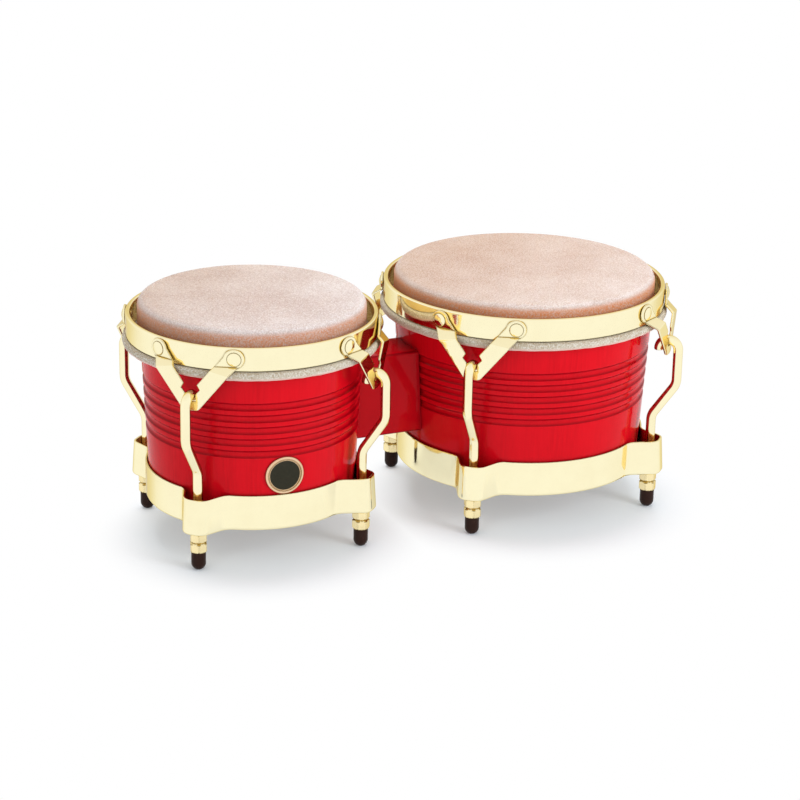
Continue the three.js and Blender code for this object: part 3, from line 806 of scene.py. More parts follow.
@once
def medal_dark():
    """Darkened middle of the medal."""
    material, tree, shader = new_material("medal_dark")
    place = object_place(tree)
    grain = noise_level(tree, place, 420.0, 4.0)
    tint = rgba(bpy.context.scene.bongo_finishes.medal_face)
    fill(tree, shader, {
        "Base Color": mix(tree, times(tree, grain, 0.25), tint, (0.07, 0.06, 0.03, 1)),
        "Normal": bumped(tree, 0.3, 0.4 * MM, grain),
        "Roughness": 0.45,
        "Specular IOR Level": 0.2,
    })
    return material


# Forms of the pieces


def shell_profile(drum, wood):
    """Section of a turned shell, with its coved grooves and rounded bearing edge."""
    bottom = drum.shell_bottom
    top = drum.shell_top
    foot_round = 0.8 * MM
    groove_lip = 0.9 * MM
    taper_blend = 60 * MM
    corners = [(shell_radius_at(drum, bottom), bottom, foot_round)]
    half = wood.groove_width / 2
    cove = (half**2 + wood.groove_depth**2) / (2 * wood.groove_depth)
    for i in range(GROOVES):
        middle = wood.lowest_groove + i * wood.groove_pitch
        for k in range(11):
            offset = half * (k / 5 - 1)
            z = middle + offset
            depth = math.sqrt(cove**2 - offset**2) - cove + wood.groove_depth
            corners.append((shell_radius_at(drum, z) - depth, z, groove_lip if k in (0, 10) else 0))
    inner = drum.shell_radius - wood.wall
    corners += [
        (drum.shell_radius, drum.taper_top, taper_blend),
        (drum.shell_radius, top, 5.4 * MM),
        (inner, top - EDGE_DROP, 1.5 * MM),
        (inner, drum.taper_top, taper_blend),
        (shell_radius_at(drum, bottom) - wood.wall, bottom, foot_round),
    ]
    return held(rounded(corners))


def head_profile(drum, hide):
    """Section of a stretched head with a soft shoulder and a skirt down into the hoop."""
    radius = drum.head_radius
    inner = radius - hide.thickness
    return rounded(
        [
            (inner, drum.head_bottom, 0.3 * MM),
            (radius, drum.head_bottom, 0.3 * MM),
            (radius, drum.head_top, hide.shoulder),
            (0, drum.head_top, 0),
            (0, drum.head_top - hide.thickness, 0),
            (inner, drum.head_top - hide.thickness, hide.shoulder - hide.thickness),
        ],
        steps=12,
    )


def hoop_profile(drum):
    """Section of the hide tucked round the flesh hoop."""
    inner = drum.head_radius + GAP
    outer = drum.hoop_outer
    low = drum.hoop_bottom
    high = drum.hoop_top
    bulge = 2.6 * MM
    corners = [(inner, low, 1.2 * MM), (outer, low, bulge), (outer, high, bulge), (inner, high, 0.6 * MM)]
    return rounded(corners, steps=7)


def rim_profile(drum, hardware):
    """Section of the flat rim with its rounded top."""
    inner = drum.rim_outer - RIM_WALL
    outer = drum.rim_outer
    corners = [
        (inner, drum.rim_bottom, 0.5 * MM),
        (outer, drum.rim_bottom, 0.6 * MM),
        (outer, drum.rim_top, hardware.rim_edge),
        (inner, drum.rim_top, hardware.rim_edge),
    ]
    return held(rounded(corners, steps=6))


def link_outline(drum, hardware):
    """The V link's edge, as points along and up its lug."""
    rivet_z = drum.rim_top - hardware.rivet_drop
    foot = rivet_z - hardware.link_depth
    seat = foot + LINK.web_height
    half = hardware.strap / 2
    slant = hardware.slope
    aside = Vector((math.cos(slant), -math.sin(slant)))
    down = Vector((-math.sin(slant), -math.cos(slant)))
    rivet = Vector((hardware.spread, rivet_z))
    outer = rivet + aside * half
    inner = rivet - aside * half

    def along(start, z):
        return start + down * ((z - start.y) / down.y)

    past = math.acos(half / hardware.pad)
    pad = arc(rivet, hardware.pad, -slant - past, math.pi + 2 * past, 26)
    foot_corner = along(outer, foot)
    half_outline = fillet(Vector((0, foot)), foot_corner, pad[0], 4.5 * MM, 8)
    half_outline += pad
    inlet = [
        (*pad[-1], 0),
        (*along(inner, seat + LINK.notch_top), 0.7 * MM),
        (LINK.notch_half_width, seat + LINK.notch_middle, 0.6 * MM),
        (LINK.slot_half_width, seat + LINK.slot_height, 0.8 * MM),
        (LINK.slot_half_width, seat, 0.5 * MM),
        (0, seat, 0),
    ]
    half_outline += rounded(inlet, steps=5, closed=False)[1:-1]
    mirrored = [Vector((-point.x, point.y)) for point in reversed(half_outline)]
    return half_outline + mirrored


def strap_angle(drum, hardware):
    """Turn about the drum's axis from a lug to either of its rivets."""
    return math.asin(hardware.spread / (drum.rim_outer + GAP))


def link_faces(drum, hardware, across, depth):
    """Reach of the pad and of the strap at one place across the link, and where its step starts."""
    turn = strap_angle(drum, hardware)
    middle_round = 0.5 * MM
    side = math.hypot(across, middle_round)
    pad = (drum.rim_outer + GAP + depth - side * math.sin(turn)) / math.cos(turn)
    hook_plane = drum.rod_circle + hardware.crank - hardware.hook
    strap = hook_plane - hardware.sheet / 2 + depth - side * math.tan(hardware.fold)
    step_top = drum.rim_top - hardware.rivet_drop - hardware.step_drop
    return pad, strap, step_top - (hardware.sheet - depth) * math.tan(hardware.step_lean / 2)


def link_reach(drum, hardware, across, z, depth):
    """How far out along the lug a point of the link's sheet lies, with a line pressed in at the step."""
    pad, strap, step_top = link_faces(drum, hardware, across, depth)
    upper_bend = 0.2 * MM
    lower_bend = 0.3 * MM
    pressed = 0.4 * MM
    below = (step_top - z + math.hypot(step_top - z, upper_bend)) / 2
    ramp_reach = pad + below * math.tan(hardware.step_lean)
    reach = (strap + ramp_reach - math.hypot(strap - ramp_reach, lower_bend)) / 2
    on_outer_face = depth > hardware.sheet - 0.1 * MM
    if on_outer_face and strap > pad:
        reach -= pressed * math.exp(-(((z - step_top) / pressed) ** 2))
    return reach


def creases(drum, hardware):
    """Points in three close rows along both bends of the link's step."""
    points = []
    row_gap = 0.45 * MM
    reach = math.ceil((hardware.spread + hardware.strap) / MM) + 2
    for i in range(-reach, reach + 1):
        across = i * MM
        pad, strap, step_top = link_faces(drum, hardware, across, hardware.sheet)
        step_bottom = step_top - max(strap - pad, 0) / math.tan(hardware.step_lean)
        for z in (step_top, step_bottom):
            points += [Vector((across, z + shift)) for shift in (-row_gap, 0, row_gap)]
    return points


def inset(outline, distance):
    """The outline moved in by a small distance along its own normals."""
    moved = []
    for i, point in enumerate(outline):
        before = (point - outline[i - 1]).normalized()
        after = (outline[(i + 1) % len(outline)] - point).normalized()
        normal = Vector((-(before.y + after.y), before.x + after.x)).normalized()
        stretch = max(normal.dot(Vector((-before.y, before.x))), 0.6)
        moved.append(point + normal * (distance / stretch))
    return moved


def inside_outline(point, outline):
    """Whether a point lies within a closed outline."""
    found = False
    for i, corner in enumerate(outline):
        other = outline[i - 1]
        if (corner.y > point.y) != (other.y > point.y):
            crossing = (other.x - corner.x) * (point.y - corner.y) / (other.y - corner.y) + corner.x
            if point.x < crossing:
                found = not found
    return found


def link_plate(drum, hardware):
    """The pressed link as a smooth sheet with tumbled edges, in the lug's frame."""
    outline = densify(link_outline(drum, hardware), 0.9 * MM)
    area = sum(a.cross(b) for a, b in zip(outline, outline[1:] + outline[:1]))
    if area < 0:
        outline.reverse()
    edge = hardware.edge_round
    insets = [0, 0.16 * edge, 0.5 * edge, edge]
    loops = [outline] + [inset(outline, distance) for distance in insets[1:]]
    innermost = loops[-1]
    spacing = 1.7 * MM
    bend_clearance = 0.8 * MM
    low_x = min(p.x for p in innermost)
    high_x = max(p.x for p in innermost)
    low_y = min(p.y for p in innermost)
    high_y = max(p.y for p in innermost)
    limit = inset(outline, edge + 0.4 * spacing)
    bends = [point for point in creases(drum, hardware) if inside_outline(point, limit)]
    filling = list(bends)
    for i in range(int((high_x - low_x) / spacing) + 1):
        for k in range(int((high_y - low_y) / spacing) + 1):
            point = Vector((low_x + (i + (k % 2) / 2) * spacing, low_y + k * spacing))
            clear = all((point - bend_point).length > bend_clearance for bend_point in bends)
            if clear and inside_outline(point, limit):
                filling.append(point)
    count = len(outline)
    boundary = [(i, (i + 1) % count) for i in range(count)]
    made = delaunay_2d_cdt(innermost + filling, boundary, [list(range(count))], 1, 1e-7)
    flat_points = [*loops[0], *loops[1], *loops[2], *made[0]]
    ring_inset = [insets[0]] * count + [insets[1]] * count + [insets[2]] * count + [edge] * len(made[0])
    drops = [edge - math.sqrt(max(edge**2 - (edge - inward) ** 2, 0)) for inward in ring_inset]
    start = 3 * count
    originals = {old: new for new, olds in enumerate(made[3]) for old in olds}
    inner_ring = [start + originals[i] for i in range(count)]
    rings = [list(range(count)), list(range(count, 2 * count)), list(range(2 * count, 3 * count)), inner_ring]
    faces = [tuple(start + k for k in face) for face in made[2]]
    for first, second in zip(rings, rings[1:]):
        for i in range(count):
            after = (i + 1) % count
            faces.append((first[i], first[after], second[after], second[i]))
    total = len(flat_points)
    vertices = []
    for side in (1, 0):
        for point, drop in zip(flat_points, drops):
            depth = hardware.sheet - drop if side else drop
            reach = link_reach(drum, hardware, point.x, point.y, depth)
            vertices.append((reach, point.x, point.y))
    both = list(faces) + [tuple(total + k for k in reversed(face)) for face in faces]
    for i in range(count):
        after = (i + 1) % count
        both.append((i, total + i, total + after, after))
    return vertices, both


def rivet_body(hardware):
    """A domed rivet with its shank and the set tail inside the rim."""
    head = 5.3 * MM
    shank = 2.4 * MM
    sunk = -0.4 * MM
    dome = SimpleNamespace(radius=4.9 * MM, base=0.7 * MM, rise=1.2 * MM)
    tail = -(hardware.sheet + GAP + RIM_WALL)
    profile = [Vector((0, tail - 0.9 * MM))]
    profile += arc((2.2 * MM, tail - 0.1 * MM), 0.8 * MM, -math.pi / 2, math.pi / 2, 5)
    profile += [Vector((shank, tail)), Vector((shank, sunk)), Vector((head, sunk))]
    profile += [Vector((head, 0.35 * MM)), Vector((head - 0.25 * MM, 0.6 * MM))]
    for t in [i / 9 for i in range(10)]:
        profile.append(Vector((dome.radius * (1 - t), dome.base + dome.rise * math.sin(t * math.pi / 2))))
    return lathe(profile, 32)


def rod_line(drum, hardware):
    """The hook rod's middle line in its lug plane."""
    inner = drum.rod_circle
    outer = inner + hardware.crank
    low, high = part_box(f"{drum.name}_hook_rod_front_left")
    crown = high.z - hardware.rod_radius * math.cos(math.pi / 8)
    base = crown - hardware.hook
    knee_round = 15 * MM
    bends = [
        (inner, low.z, 0),
        (inner, ROD.lower_knee, knee_round),
        (outer, ROD.upper_knee, knee_round),
        (outer, base, 0),
    ]
    line = rounded(bends, steps=10, closed=False)
    line += arc((outer - hardware.hook, base), hardware.hook, 0, math.pi, 22)[1:]
    line.append(Vector((outer - 2 * hardware.hook, base - ROD.tail)))
    return line


def rod_body(drum, hardware):
    """A bent rod with a rolled thread on its straight lower end."""
    line = rod_line(drum, hardware)
    radius = hardware.rod_radius
    sides = 24
    thread_depth = 0.42 * MM
    tip_round = 0.9 * MM
    tip_ease = 0.26 * MM
    thread_low = line[0].y + 1.2 * MM
    step = hardware.pitch / 6
    count = int((ROD.thread_top - thread_low) / step)
    stations = [(line[0].copy(), radius - 1.0 * MM, 0)]
    stations += [(Vector((line[0].x, thread_low + i * step)), radius, 1) for i in range(count)]
    rest = densify(line[1:], 3 * MM, closed=False)
    stations.append((Vector((line[0].x, ROD.thread_top + step)), radius, 0))
    stations += [(point, radius, 0) for point in rest]
    end = stations.pop()[0]
    before = stations[-1][0]
    along = (end - before).normalized()
    stations.append((end - along * tip_round, radius, 0))
    stations.append((end - along * tip_ease, radius - tip_ease, 0))
    stations.append((end, radius - tip_round, 0))
    vertices = []
    for i, (point, size, threaded) in enumerate(stations):
        first = stations[max(i - 1, 0)][0]
        second = stations[min(i + 1, len(stations) - 1)][0]
        along = (second - first).normalized()
        aside = Vector((along.y, 0, -along.x))
        for k in range(sides):
            turn = 2 * math.pi * k / sides
            here = size
            if threaded:
                phase = (point.y / hardware.pitch - k / sides) % 1.0
                here = size - thread_depth * abs(2 * phase - 1) ** 1.2
            offset = aside * (here * math.cos(turn)) + Vector((0, here * math.sin(turn), 0))
            vertices.append(Vector((point.x, 0, point.y)) + offset)
    faces = strips(len(stations), sides, False)
    last = (len(stations) - 1) * sides
    faces.append(tuple(range(sides)))
    faces.append(tuple(last + k for k in reversed(range(sides))))
    return vertices, faces


def nut_body(low, high, hardware):
    """A long hexagon nut with a waist groove and turned chamfers."""
    flat = hardware.flats / 2
    corner = flat / math.cos(math.pi / 6)
    bore = hardware.rod_radius + GAP
    wide = bore + 0.4 * MM
    bore_ease = 0.5 * MM
    middle = (low + high) / 2
    half_groove = 0.75 * MM
    groove_depth = 0.75 * MM
    groove_lip = 0.35 * MM
    below = [0, 0.25 * MM, 0.9 * MM, 2 * MM]
    heights = [(low + rise, 0) for rise in below]
    heights += [(middle - half_groove - groove_lip, 0), (middle - half_groove, 1), (middle, 2)]
    heights += [(middle + half_groove, 1), (middle + half_groove + groove_lip, 0)]
    heights += [(high - rise, 0) for rise in reversed(below)]
    ring = [(wide, high), (bore, high - bore_ease), (bore, low + bore_ease), (wide, low)]
    sides = 96
    vertices = []
    for k in range(sides):
        turn = 2 * math.pi * k / sides
        wrapped = (turn + math.pi / 6) % (math.pi / 3) - math.pi / 6
        hexagon = min(flat / math.cos(wrapped), corner - 0.25 * MM)
        outside = []
        for z, groove in heights:
            cone = flat - 0.15 * MM + min(z - low, high - z) * 1.35
            turned = {0: cone, 1: flat - 0.05 * MM, 2: flat - groove_depth}[groove]
            outside.append((min(hexagon, turned), z))
        vertices += [(r * math.cos(turn), r * math.sin(turn), z) for r, z in outside + ring]
    return vertices, strips(sides, len(heights) + len(ring), True)


def foot_body(drum):
    """A domed rubber foot with its plug."""
    low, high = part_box(f"{drum.name}_rubber_foot_front_left")
    radius = (high.x - low.x) / 2
    dome = math.sqrt(radius**2 - FOOT.flat_radius**2)
    start = -math.atan2(dome, FOOT.flat_radius)
    profile = [Vector((0, low.z))] + arc((0, dome), radius, start, -start, 14)
    upper = [
        (radius, dome, 0),
        (radius, FOOT.height, 0.5 * MM),
        (FOOT.plug_radius, FOOT.height, 0.2 * MM),
        (FOOT.plug_radius, high.z, 0.5 * MM),
        (0, high.z, 0),
    ]
    profile += rounded(upper, closed=False)[1:]
    return lathe(profile, 48)


def band_line(drum, hardware, ear_reach):
    """The middle line of the band's wall in plan, once round with its four ears."""
    sheet = hardware.band_sheet
    radius = shell_radius_at(drum, drum.band_top) + GAP + sheet / 2
    front = drum.rod_circle + ear_reach - sheet / 2
    spread = math.tan(EAR.side_slope)
    half = EAR.half_width
    a = 1 + spread**2
    b = half * spread - front
    c = front**2 + half**2 - radius**2
    back = (-b - math.sqrt(b * b - a * c)) / a
    base = Vector((front - back, half + back * spread))
    corner = Vector((front, half))
    reach = math.atan2(base.y, base.x) + EAR.base_round / radius
    on_circle = Vector((radius * math.cos(reach), radius * math.sin(reach)))
    side = bend(Vector((front, 0)), corner, base, EAR.front_round)
    side += bend(corner, base, on_circle, EAR.base_round)
    side = [Vector((front, 0))] + side
    ear = [Vector((p.x, -p.y)) for p in reversed(side[1:])] + side
    turns = sorted(turn % (2 * math.pi) for turn in drum.lugs.values())
    line = []
    for i, turn in enumerate(turns):
        spin = Matrix.Rotation(turn, 2)
        line += [spin @ point for point in ear]
        after = turns[i + 1] if i + 1 < len(turns) else turns[0] + 2 * math.pi
        start = turn + reach
        sweep = after - reach - start
        line += arc((0, 0), radius, start, sweep, 26)[1:-1]
    return line


def bend(before, corner, after, setback):
    """Points of a soft bend that leaves a corner's two sides at one distance from it."""
    start = corner.lerp(before, setback / (before - corner).length)
    end = corner.lerp(after, setback / (after - corner).length)
    steps = 12
    shares = [i / steps for i in range(steps + 1)]
    return [(1 - t) ** 2 * start + 2 * t * (1 - t) * corner + t * t * end for t in shares]


def beside(line, i):
    """The way out from a closed line in plan at its i-th point."""
    along = (line[(i + 1) % len(line)] - line[i - 1]).normalized()
    return Vector((along.y, -along.x))


def band_body(drum, hardware):
    """The looped bottom band with its open leaning ears and inner ledge."""
    top_line = band_line(drum, hardware, hardware.ear_reach)
    low_line = band_line(drum, hardware, hardware.ear_reach + hardware.ear_lean)
    sheet = hardware.band_sheet
    half = sheet / 2
    low = drum.band_bottom
    high = drum.band_top
    curl = BAND.curl
    ledge = shell_radius_at(drum, high) + GAP - BAND.ledge
    floor = low + sheet
    below_lip = high - 1.4 * MM
    ease = 0.4 * MM
    corner, corner_ease = 1.2 * MM, 0.35 * MM
    edge, edge_side, edge_drop = 0.6 * MM, 0.2 * MM, 0.18 * MM
    walls = [(half, below_lip), (half, low + curl + 0.8 * MM), (half, low + curl)]
    walls += [(p.x, p.y) for p in arc((half - curl, low + curl), curl, 0, -math.pi / 2, 7)[1:]]
    shelf = [(ledge + ease, low), (ledge, low + ease), (ledge, floor - ease), (ledge + ease, floor)]
    inside = [(-half - corner, floor), (-half - corner_ease, floor + corner_ease)]
    inside += [(-half, floor + corner), (-half, floor + 2 * MM), (-half, below_lip)]
    lip = [(-half, high - edge), (-half + edge_side, high - edge_drop), (-half + edge, high)]
    lip += [(-x, z) for x, z in reversed(lip)]
    vertices = []
    count = len(walls) + len(shelf) + len(inside) + len(lip)
    size = len(low_line)
    for i, point in enumerate(low_line):
        low_out = beside(low_line, i)
        top_out = beside(top_line, i)
        inward = point.normalized()

        def wall(offset, z):
            share = min((z - low - curl) / (high - low - curl), 1)
            at = (point + low_out * offset).lerp(top_line[i] + top_out * offset, max(share, 0))
            return (*at, z)

        vertices += [wall(offset, z) for offset, z in walls]
        vertices += [(*(inward * radius), z) for radius, z in shelf]
        vertices += [wall(offset, z) for offset, z in inside + lip]
    return placed(vertices, Matrix.Translation((drum.x, 0, 0))), strips(size, count, True)


def block_body(wood):
    """The centre block, hollowed at both ends to sit against the shells."""
    low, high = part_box("centre_block")
    edge = wood.block_edge
    corners = [(low.y, low.z), (high.y, low.z), (high.y, high.z), (low.y, high.z)]
    section = rounded([(*corner, edge) for corner in corners], steps=6)
    section = densify(section, 3 * MM)
    middle = Vector((0, (low.z + high.z) / 2))
    ring_shares = (0.05, 0.35, 0.7, 1.0)
    ends = [(BONGOS["small"], 1, ring_shares), (BONGOS["large"], -1, reversed(ring_shares))]
    rings = []
    for drum, side, shares in ends:
        for ring_share in shares:
            ring = []
            for point in section:
                at = middle.lerp(point, ring_share)
                radius = shell_radius_at(drum, at.y) + GAP
                ring.append((drum.x + side * math.sqrt(radius**2 - at.x**2), at.x, at.y))
            rings.append(ring)
    vertices = [v for ring in rings for v in ring]
    size = len(section)
    faces = strips(len(rings), size, False)
    last = (len(rings) - 1) * size
    faces.append(tuple(range(size)))
    faces.append(tuple(last + k for k in reversed(range(size))))
    return vertices, faces


def medal_body():
    """A plain round medal with a beaded ring, bent to the small shell."""
    drum = BONGOS["small"]
    low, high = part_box("badge")
    radius = (high.z - low.z) / 2
    height = (high.z + low.z) / 2
    # Radius and rise in millimetres, from the middle of the face out to the edge and back underneath
    section = [
        (0.0, 0.85), (5.5, 0.85), (12.0, 0.85), (12.2, 0.95), (12.35, 1.15), (12.6, 1.2), (12.85, 1.15),
        (13.0, 0.85), (13.2, 0.8), (13.5, 0.85), (13.7, 1.38), (14.0, 1.5), (14.7, 1.5), (15.2, 1.36),
        (15.5, 1.05), (15.6, 0.7), (15.6, 0.0), (11.0, 0.0), (5.5, 0.0), (0.0, 0.0),
    ]
    scale = radius / MEDAL.radius
    around = 96
    vertices = []
    for k in range(around):
        spoke = 2 * math.pi * k / around
        for out, rise in section:
            across = out * MM * scale * math.cos(spoke)
            z = height + out * MM * scale * math.sin(spoke)
            reach = shell_radius_at(drum, z) + GAP + rise * MM
            vertices.append(Vector((math.sqrt(reach**2 - across**2), across, z)))
    matrix = Matrix.Translation((drum.x, 0, 0)) @ Matrix.Rotation(MEDAL.turn, 4, "Z")
    return placed(vertices, matrix), strips(around, len(section), True)


def cut_holes(piece, cutters):
    """Cuts round holes through a piece and keeps the result as its mesh."""
    made = []
    for vertices, faces in cutters:
        mesh = bpy.data.meshes.new("hole_cutter")
        mesh.from_pydata([tuple(v) for v in vertices], [], faces)
        cutter = bpy.data.objects.new("hole_cutter", mesh)
        bpy.context.scene.collection.objects.link(cutter)
        modifier = piece.modifiers.new("hole", "BOOLEAN")
        modifier.operation = "DIFFERENCE"
        modifier.solver = "EXACT"
        modifier.object = cutter
        made.append(cutter)
    bpy.context.view_layer.update()
    solved = piece.evaluated_get(bpy.context.evaluated_depsgraph_get())
    mesh = bpy.data.meshes.new_from_object(solved)
    piece.modifiers.clear()
    piece.data = mesh
    for cutter in made:
        bpy.data.objects.remove(cutter)


def plug(radius, low, high, sides=32):
    """A closed round cutter along z."""
    turns = [2 * math.pi * k / sides for k in range(sides)]
    vertices = [(radius * math.cos(t), radius * math.sin(t), low) for t in turns]
    vertices += [(radius * math.cos(t), radius * math.sin(t), high) for t in turns]
    faces = [(k, (k + 1) % sides, sides + (k + 1) % sides, sides + k) for k in range(sides)]
    faces.append(tuple(reversed(range(sides))))
    faces.append(tuple(sides + k for k in range(sides)))
    return vertices, faces


# One operator for each kind of piece


class BONGOS_OT_shells(bpy.types.Operator):
    """Turn both lacquered shells, with bare wood inside"""

    bl_idname = "bongos.shells"
    bl_label = "Shells"

    def execute(self, context):
        wood = context.scene.bongo_wood
        for drum in BONGOS.values():
            vertices, faces = lathe(shell_profile(drum, wood), 180, drum.x)
            materials = [red_lacquer("shell_red_lacquer"), raw_wood()]
            name = f"{drum.name}_turned_shell"
            piece = new_piece(name, vertices, faces, materials, "drums", [f"{drum.name}_shell"])
            limit = drum.shell_radius - wood.wall + 0.2 * MM
            for face in piece.data.polygons:
                centre = face.center
                out = math.hypot(centre.x - drum.x, centre.y)
                if out < limit and face.normal.dot(Vector((centre.x - drum.x, centre.y, 0))) < 0:
                    face.material_index = 1
        return {"FINISHED"}


class BONGOS_OT_heads(bpy.types.Operator):
    """Stretch a hide head over each shell"""

    bl_idname = "bongos.heads"
    bl_label = "Heads"

    def execute(self, context):
        for drum in BONGOS.values():
            vertices, faces = lathe(head_profile(drum, context.scene.bongo_hide), 180, drum.x)
            name = f"{drum.name}_stretched_head"
            replaced = [f"{drum.name}_head_skin"]
            piece = new_piece(name, vertices, faces, [head_hide(drum.name)], "drums", replaced)
        return {"FINISHED"}


class BONGOS_OT_hoops(bpy.types.Operator):
    """Tuck the hide round both flesh hoops"""

    bl_idname = "bongos.hoops"
    bl_label = "Flesh hoops"

    def execute(self, context):
        uneven = context.scene.bongo_hide.unevenness
        for drum in BONGOS.values():
            smooth_inside = drum.head_radius + 2 * MM
            middle = (drum.hoop_top + drum.hoop_bottom) / 2

            def wander(radius, z, turn, smooth_inside=smooth_inside, middle=middle):
                if radius < smooth_inside:
                    return radius, z
                spot = Vector((math.cos(turn), math.sin(turn), z * 30)) * 9
                slow = abs(noise.noise(spot)) * uneven * 2
                fine = abs(noise.noise(spot * 5)) * uneven * 0.7
                return radius - slow - fine, z + (middle - z) * (slow + fine) / (8 * MM)

            vertices, faces = lathe(hoop_profile(drum), 360, drum.x, wander)
            body = f"{drum.name}_tuning_rim"
            name = f"{drum.name}_tucked_hoop"
            replaced = [f"{drum.name}_flesh_hoop"]
            piece = new_piece(name, vertices, faces, [hoop_hide(drum.name)], body, replaced)
        return {"FINISHED"}


class BONGOS_OT_rims(bpy.types.Operator):
    """Roll both polished rims"""

    bl_idname = "bongos.rims"
    bl_label = "Rims"

    def execute(self, context):
        for drum in BONGOS.values():
            vertices, faces = lathe(rim_profile(drum, context.scene.bongo_hardware), 240, drum.x)
            body = f"{drum.name}_tuning_rim"
            name = f"{drum.name}_rolled_rim"
            piece = new_piece(name, vertices, faces, [gold_plate()], body, [f"{drum.name}_rim"])
        return {"FINISHED"}


class BONGOS_OT_links(bpy.types.Operator):
    """Press the V links and set their rivets"""

    bl_idname = "bongos.links"
    bl_label = "V links"

    def execute(self, context):
        hardware = context.scene.bongo_hardware
        for drum in BONGOS.values():
            face = drum.rim_outer + GAP + hardware.sheet
            offset = strap_angle(drum, hardware)
            height = drum.rim_top - hardware.rivet_drop
            parts = [link_plate(drum, hardware)]
            for turn in (-offset, offset):
                vertices, faces = rivet_body(hardware)
                parts.append((placed(vertices, outward(turn, height, face)), faces))
            vertices, faces = joined(parts)
            for place in PLACES:
                name = f"{drum.name}_pressed_link_{place}"
                here = placed(vertices, lug_matrix(drum, place))
                body = f"{drum.name}_tuning_rim"
                piece = new_piece(name, here, faces, [gold_plate()], body, [f"{drum.name}_v_link_{place}"])
        return {"FINISHED"}


class BONGOS_OT_rods(bpy.types.Operator):
    """Bend the hook rods and roll their threads"""

    bl_idname = "bongos.rods"
    bl_label = "Hook rods"

    def execute(self, context):
        for drum in BONGOS.values():
            vertices, faces = rod_body(drum, context.scene.bongo_hardware)
            for place in PLACES:
                name = f"{drum.name}_bent_rod_{place}"
                here = placed(vertices, lug_matrix(drum, place))
                body = f"{drum.name}_tuning_rim"
                piece = new_piece(name, here, faces, [gold_plate()], body, [f"{drum.name}_hook_rod_{place}"])
        return {"FINISHED"}


class BONGOS_OT_nuts(bpy.types.Operator):
    """Turn the long tuning nuts and mould their rubber feet"""

    bl_idname = "bongos.nuts"
    bl_label = "Tuning nuts and feet"

    def execute(self, context):
        hardware = context.scene.bongo_hardware
        for drum in BONGOS.values():
            low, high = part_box(f"{drum.name}_tuning_nut_front_left")
            nut = nut_body(low.z, high.z, hardware)
            foot = foot_body(drum)
            for place in PLACES:
                matrix = lug_matrix(drum, place) @ Matrix.Translation((drum.rod_circle, 0, 0))
                body = f"{drum.name}_nut_{place}"
                name = f"{drum.name}_turned_nut_{place}"
                here = placed(nut[0], matrix)
                replaced = [f"{drum.name}_tuning_nut_{place}"]
                piece = new_piece(name, here, nut[1], [nut_plate()], body, replaced, math.radians(24))
                name = f"{drum.name}_domed_foot_{place}"
                here = placed(foot[0], matrix)
                replaced = [f"{drum.name}_rubber_foot_{place}"]
                piece = new_piece(name, here, foot[1], [foot_rubber()], body, replaced)
        return {"FINISHED"}


class BONGOS_OT_bands(bpy.types.Operator):
    """Press both bottom bands with their ears"""

    bl_idname = "bongos.bands"
    bl_label = "Bottom bands"

    def execute(self, context):
        hardware = context.scene.bongo_hardware
        for drum in BONGOS.values():
            vertices, faces = band_body(drum, hardware)
            name = f"{drum.name}_looped_band"
            piece = new_piece(name, vertices, faces, [gold_plate()], "drums", [f"{drum.name}_bottom_band"])
            holes = []
            overrun = 5 * MM
            bottom = drum.band_bottom
            hole, hole_faces = plug(hardware.rod_radius + GAP, bottom - overrun, bottom + overrun)
            for place in PLACES:
                matrix = lug_matrix(drum, place) @ Matrix.Translation((drum.rod_circle, 0, 0))
                holes.append((placed(hole, matrix), hole_faces))
            cut_holes(piece, holes)
        return {"FINISHED"}


class BONGOS_OT_block(bpy.types.Operator):
    """Shape the centre block and finish the bolts and plates inside"""

    bl_idname = "bongos.block"
    bl_label = "Centre block"

    def execute(self, context):
        vertices, faces = block_body(context.scene.bongo_wood)
        material = red_lacquer("block_red_lacquer")
        piece = new_piece("shaped_block", vertices, faces, [material], "drums", ["centre_block"])
        for name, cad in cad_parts.items():
            if "block_bolt" in name or "backing_plate" in name:
                cad.data.materials.clear()
                cad.data.materials.append(inner_steel())
        return {"FINISHED"}


class BONGOS_OT_medal(bpy.types.Operator):
    """Strike the plain round medal"""

    bl_idname = "bongos.medal"
    bl_label = "Medal"

    def execute(self, context):
        vertices, faces = medal_body()
        materials = [medal_metal(), medal_dark()]
        piece = new_piece("round_medal", vertices, faces, materials, "drums", ["badge"], math.radians(50))
        drum = BONGOS["small"]
        low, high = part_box("badge")
        middle = Vector((0, 0, (low.z + high.z) / 2))
        axis = Vector((math.cos(MEDAL.turn), math.sin(MEDAL.turn), 0))
        for face in piece.data.polygons:
            spot = face.center - Vector((drum.x, 0, 0))
            out = spot - axis * spot.dot(axis) - middle
            if out.length < MEDAL.dark_radius and face.normal.dot(axis) > 0:
                face.material_index = 1
        return {"FINISHED"}


class BONGOS_OT_stage(bpy.types.Operator):
    """Set the floor, the soft lights, the white surround and the camera"""

    bl_idname = "bongos.stage"
    bl_label = "Stage"

    def execute(self, context):
        studio = context.scene.bongo_studio
        set_camera(context, studio)
        set_floor(context)
        set_world(context, studio)
        set_lights(context, studio)
        context.scene.view_settings.view_transform = "Standard"
        return {"FINISHED"}


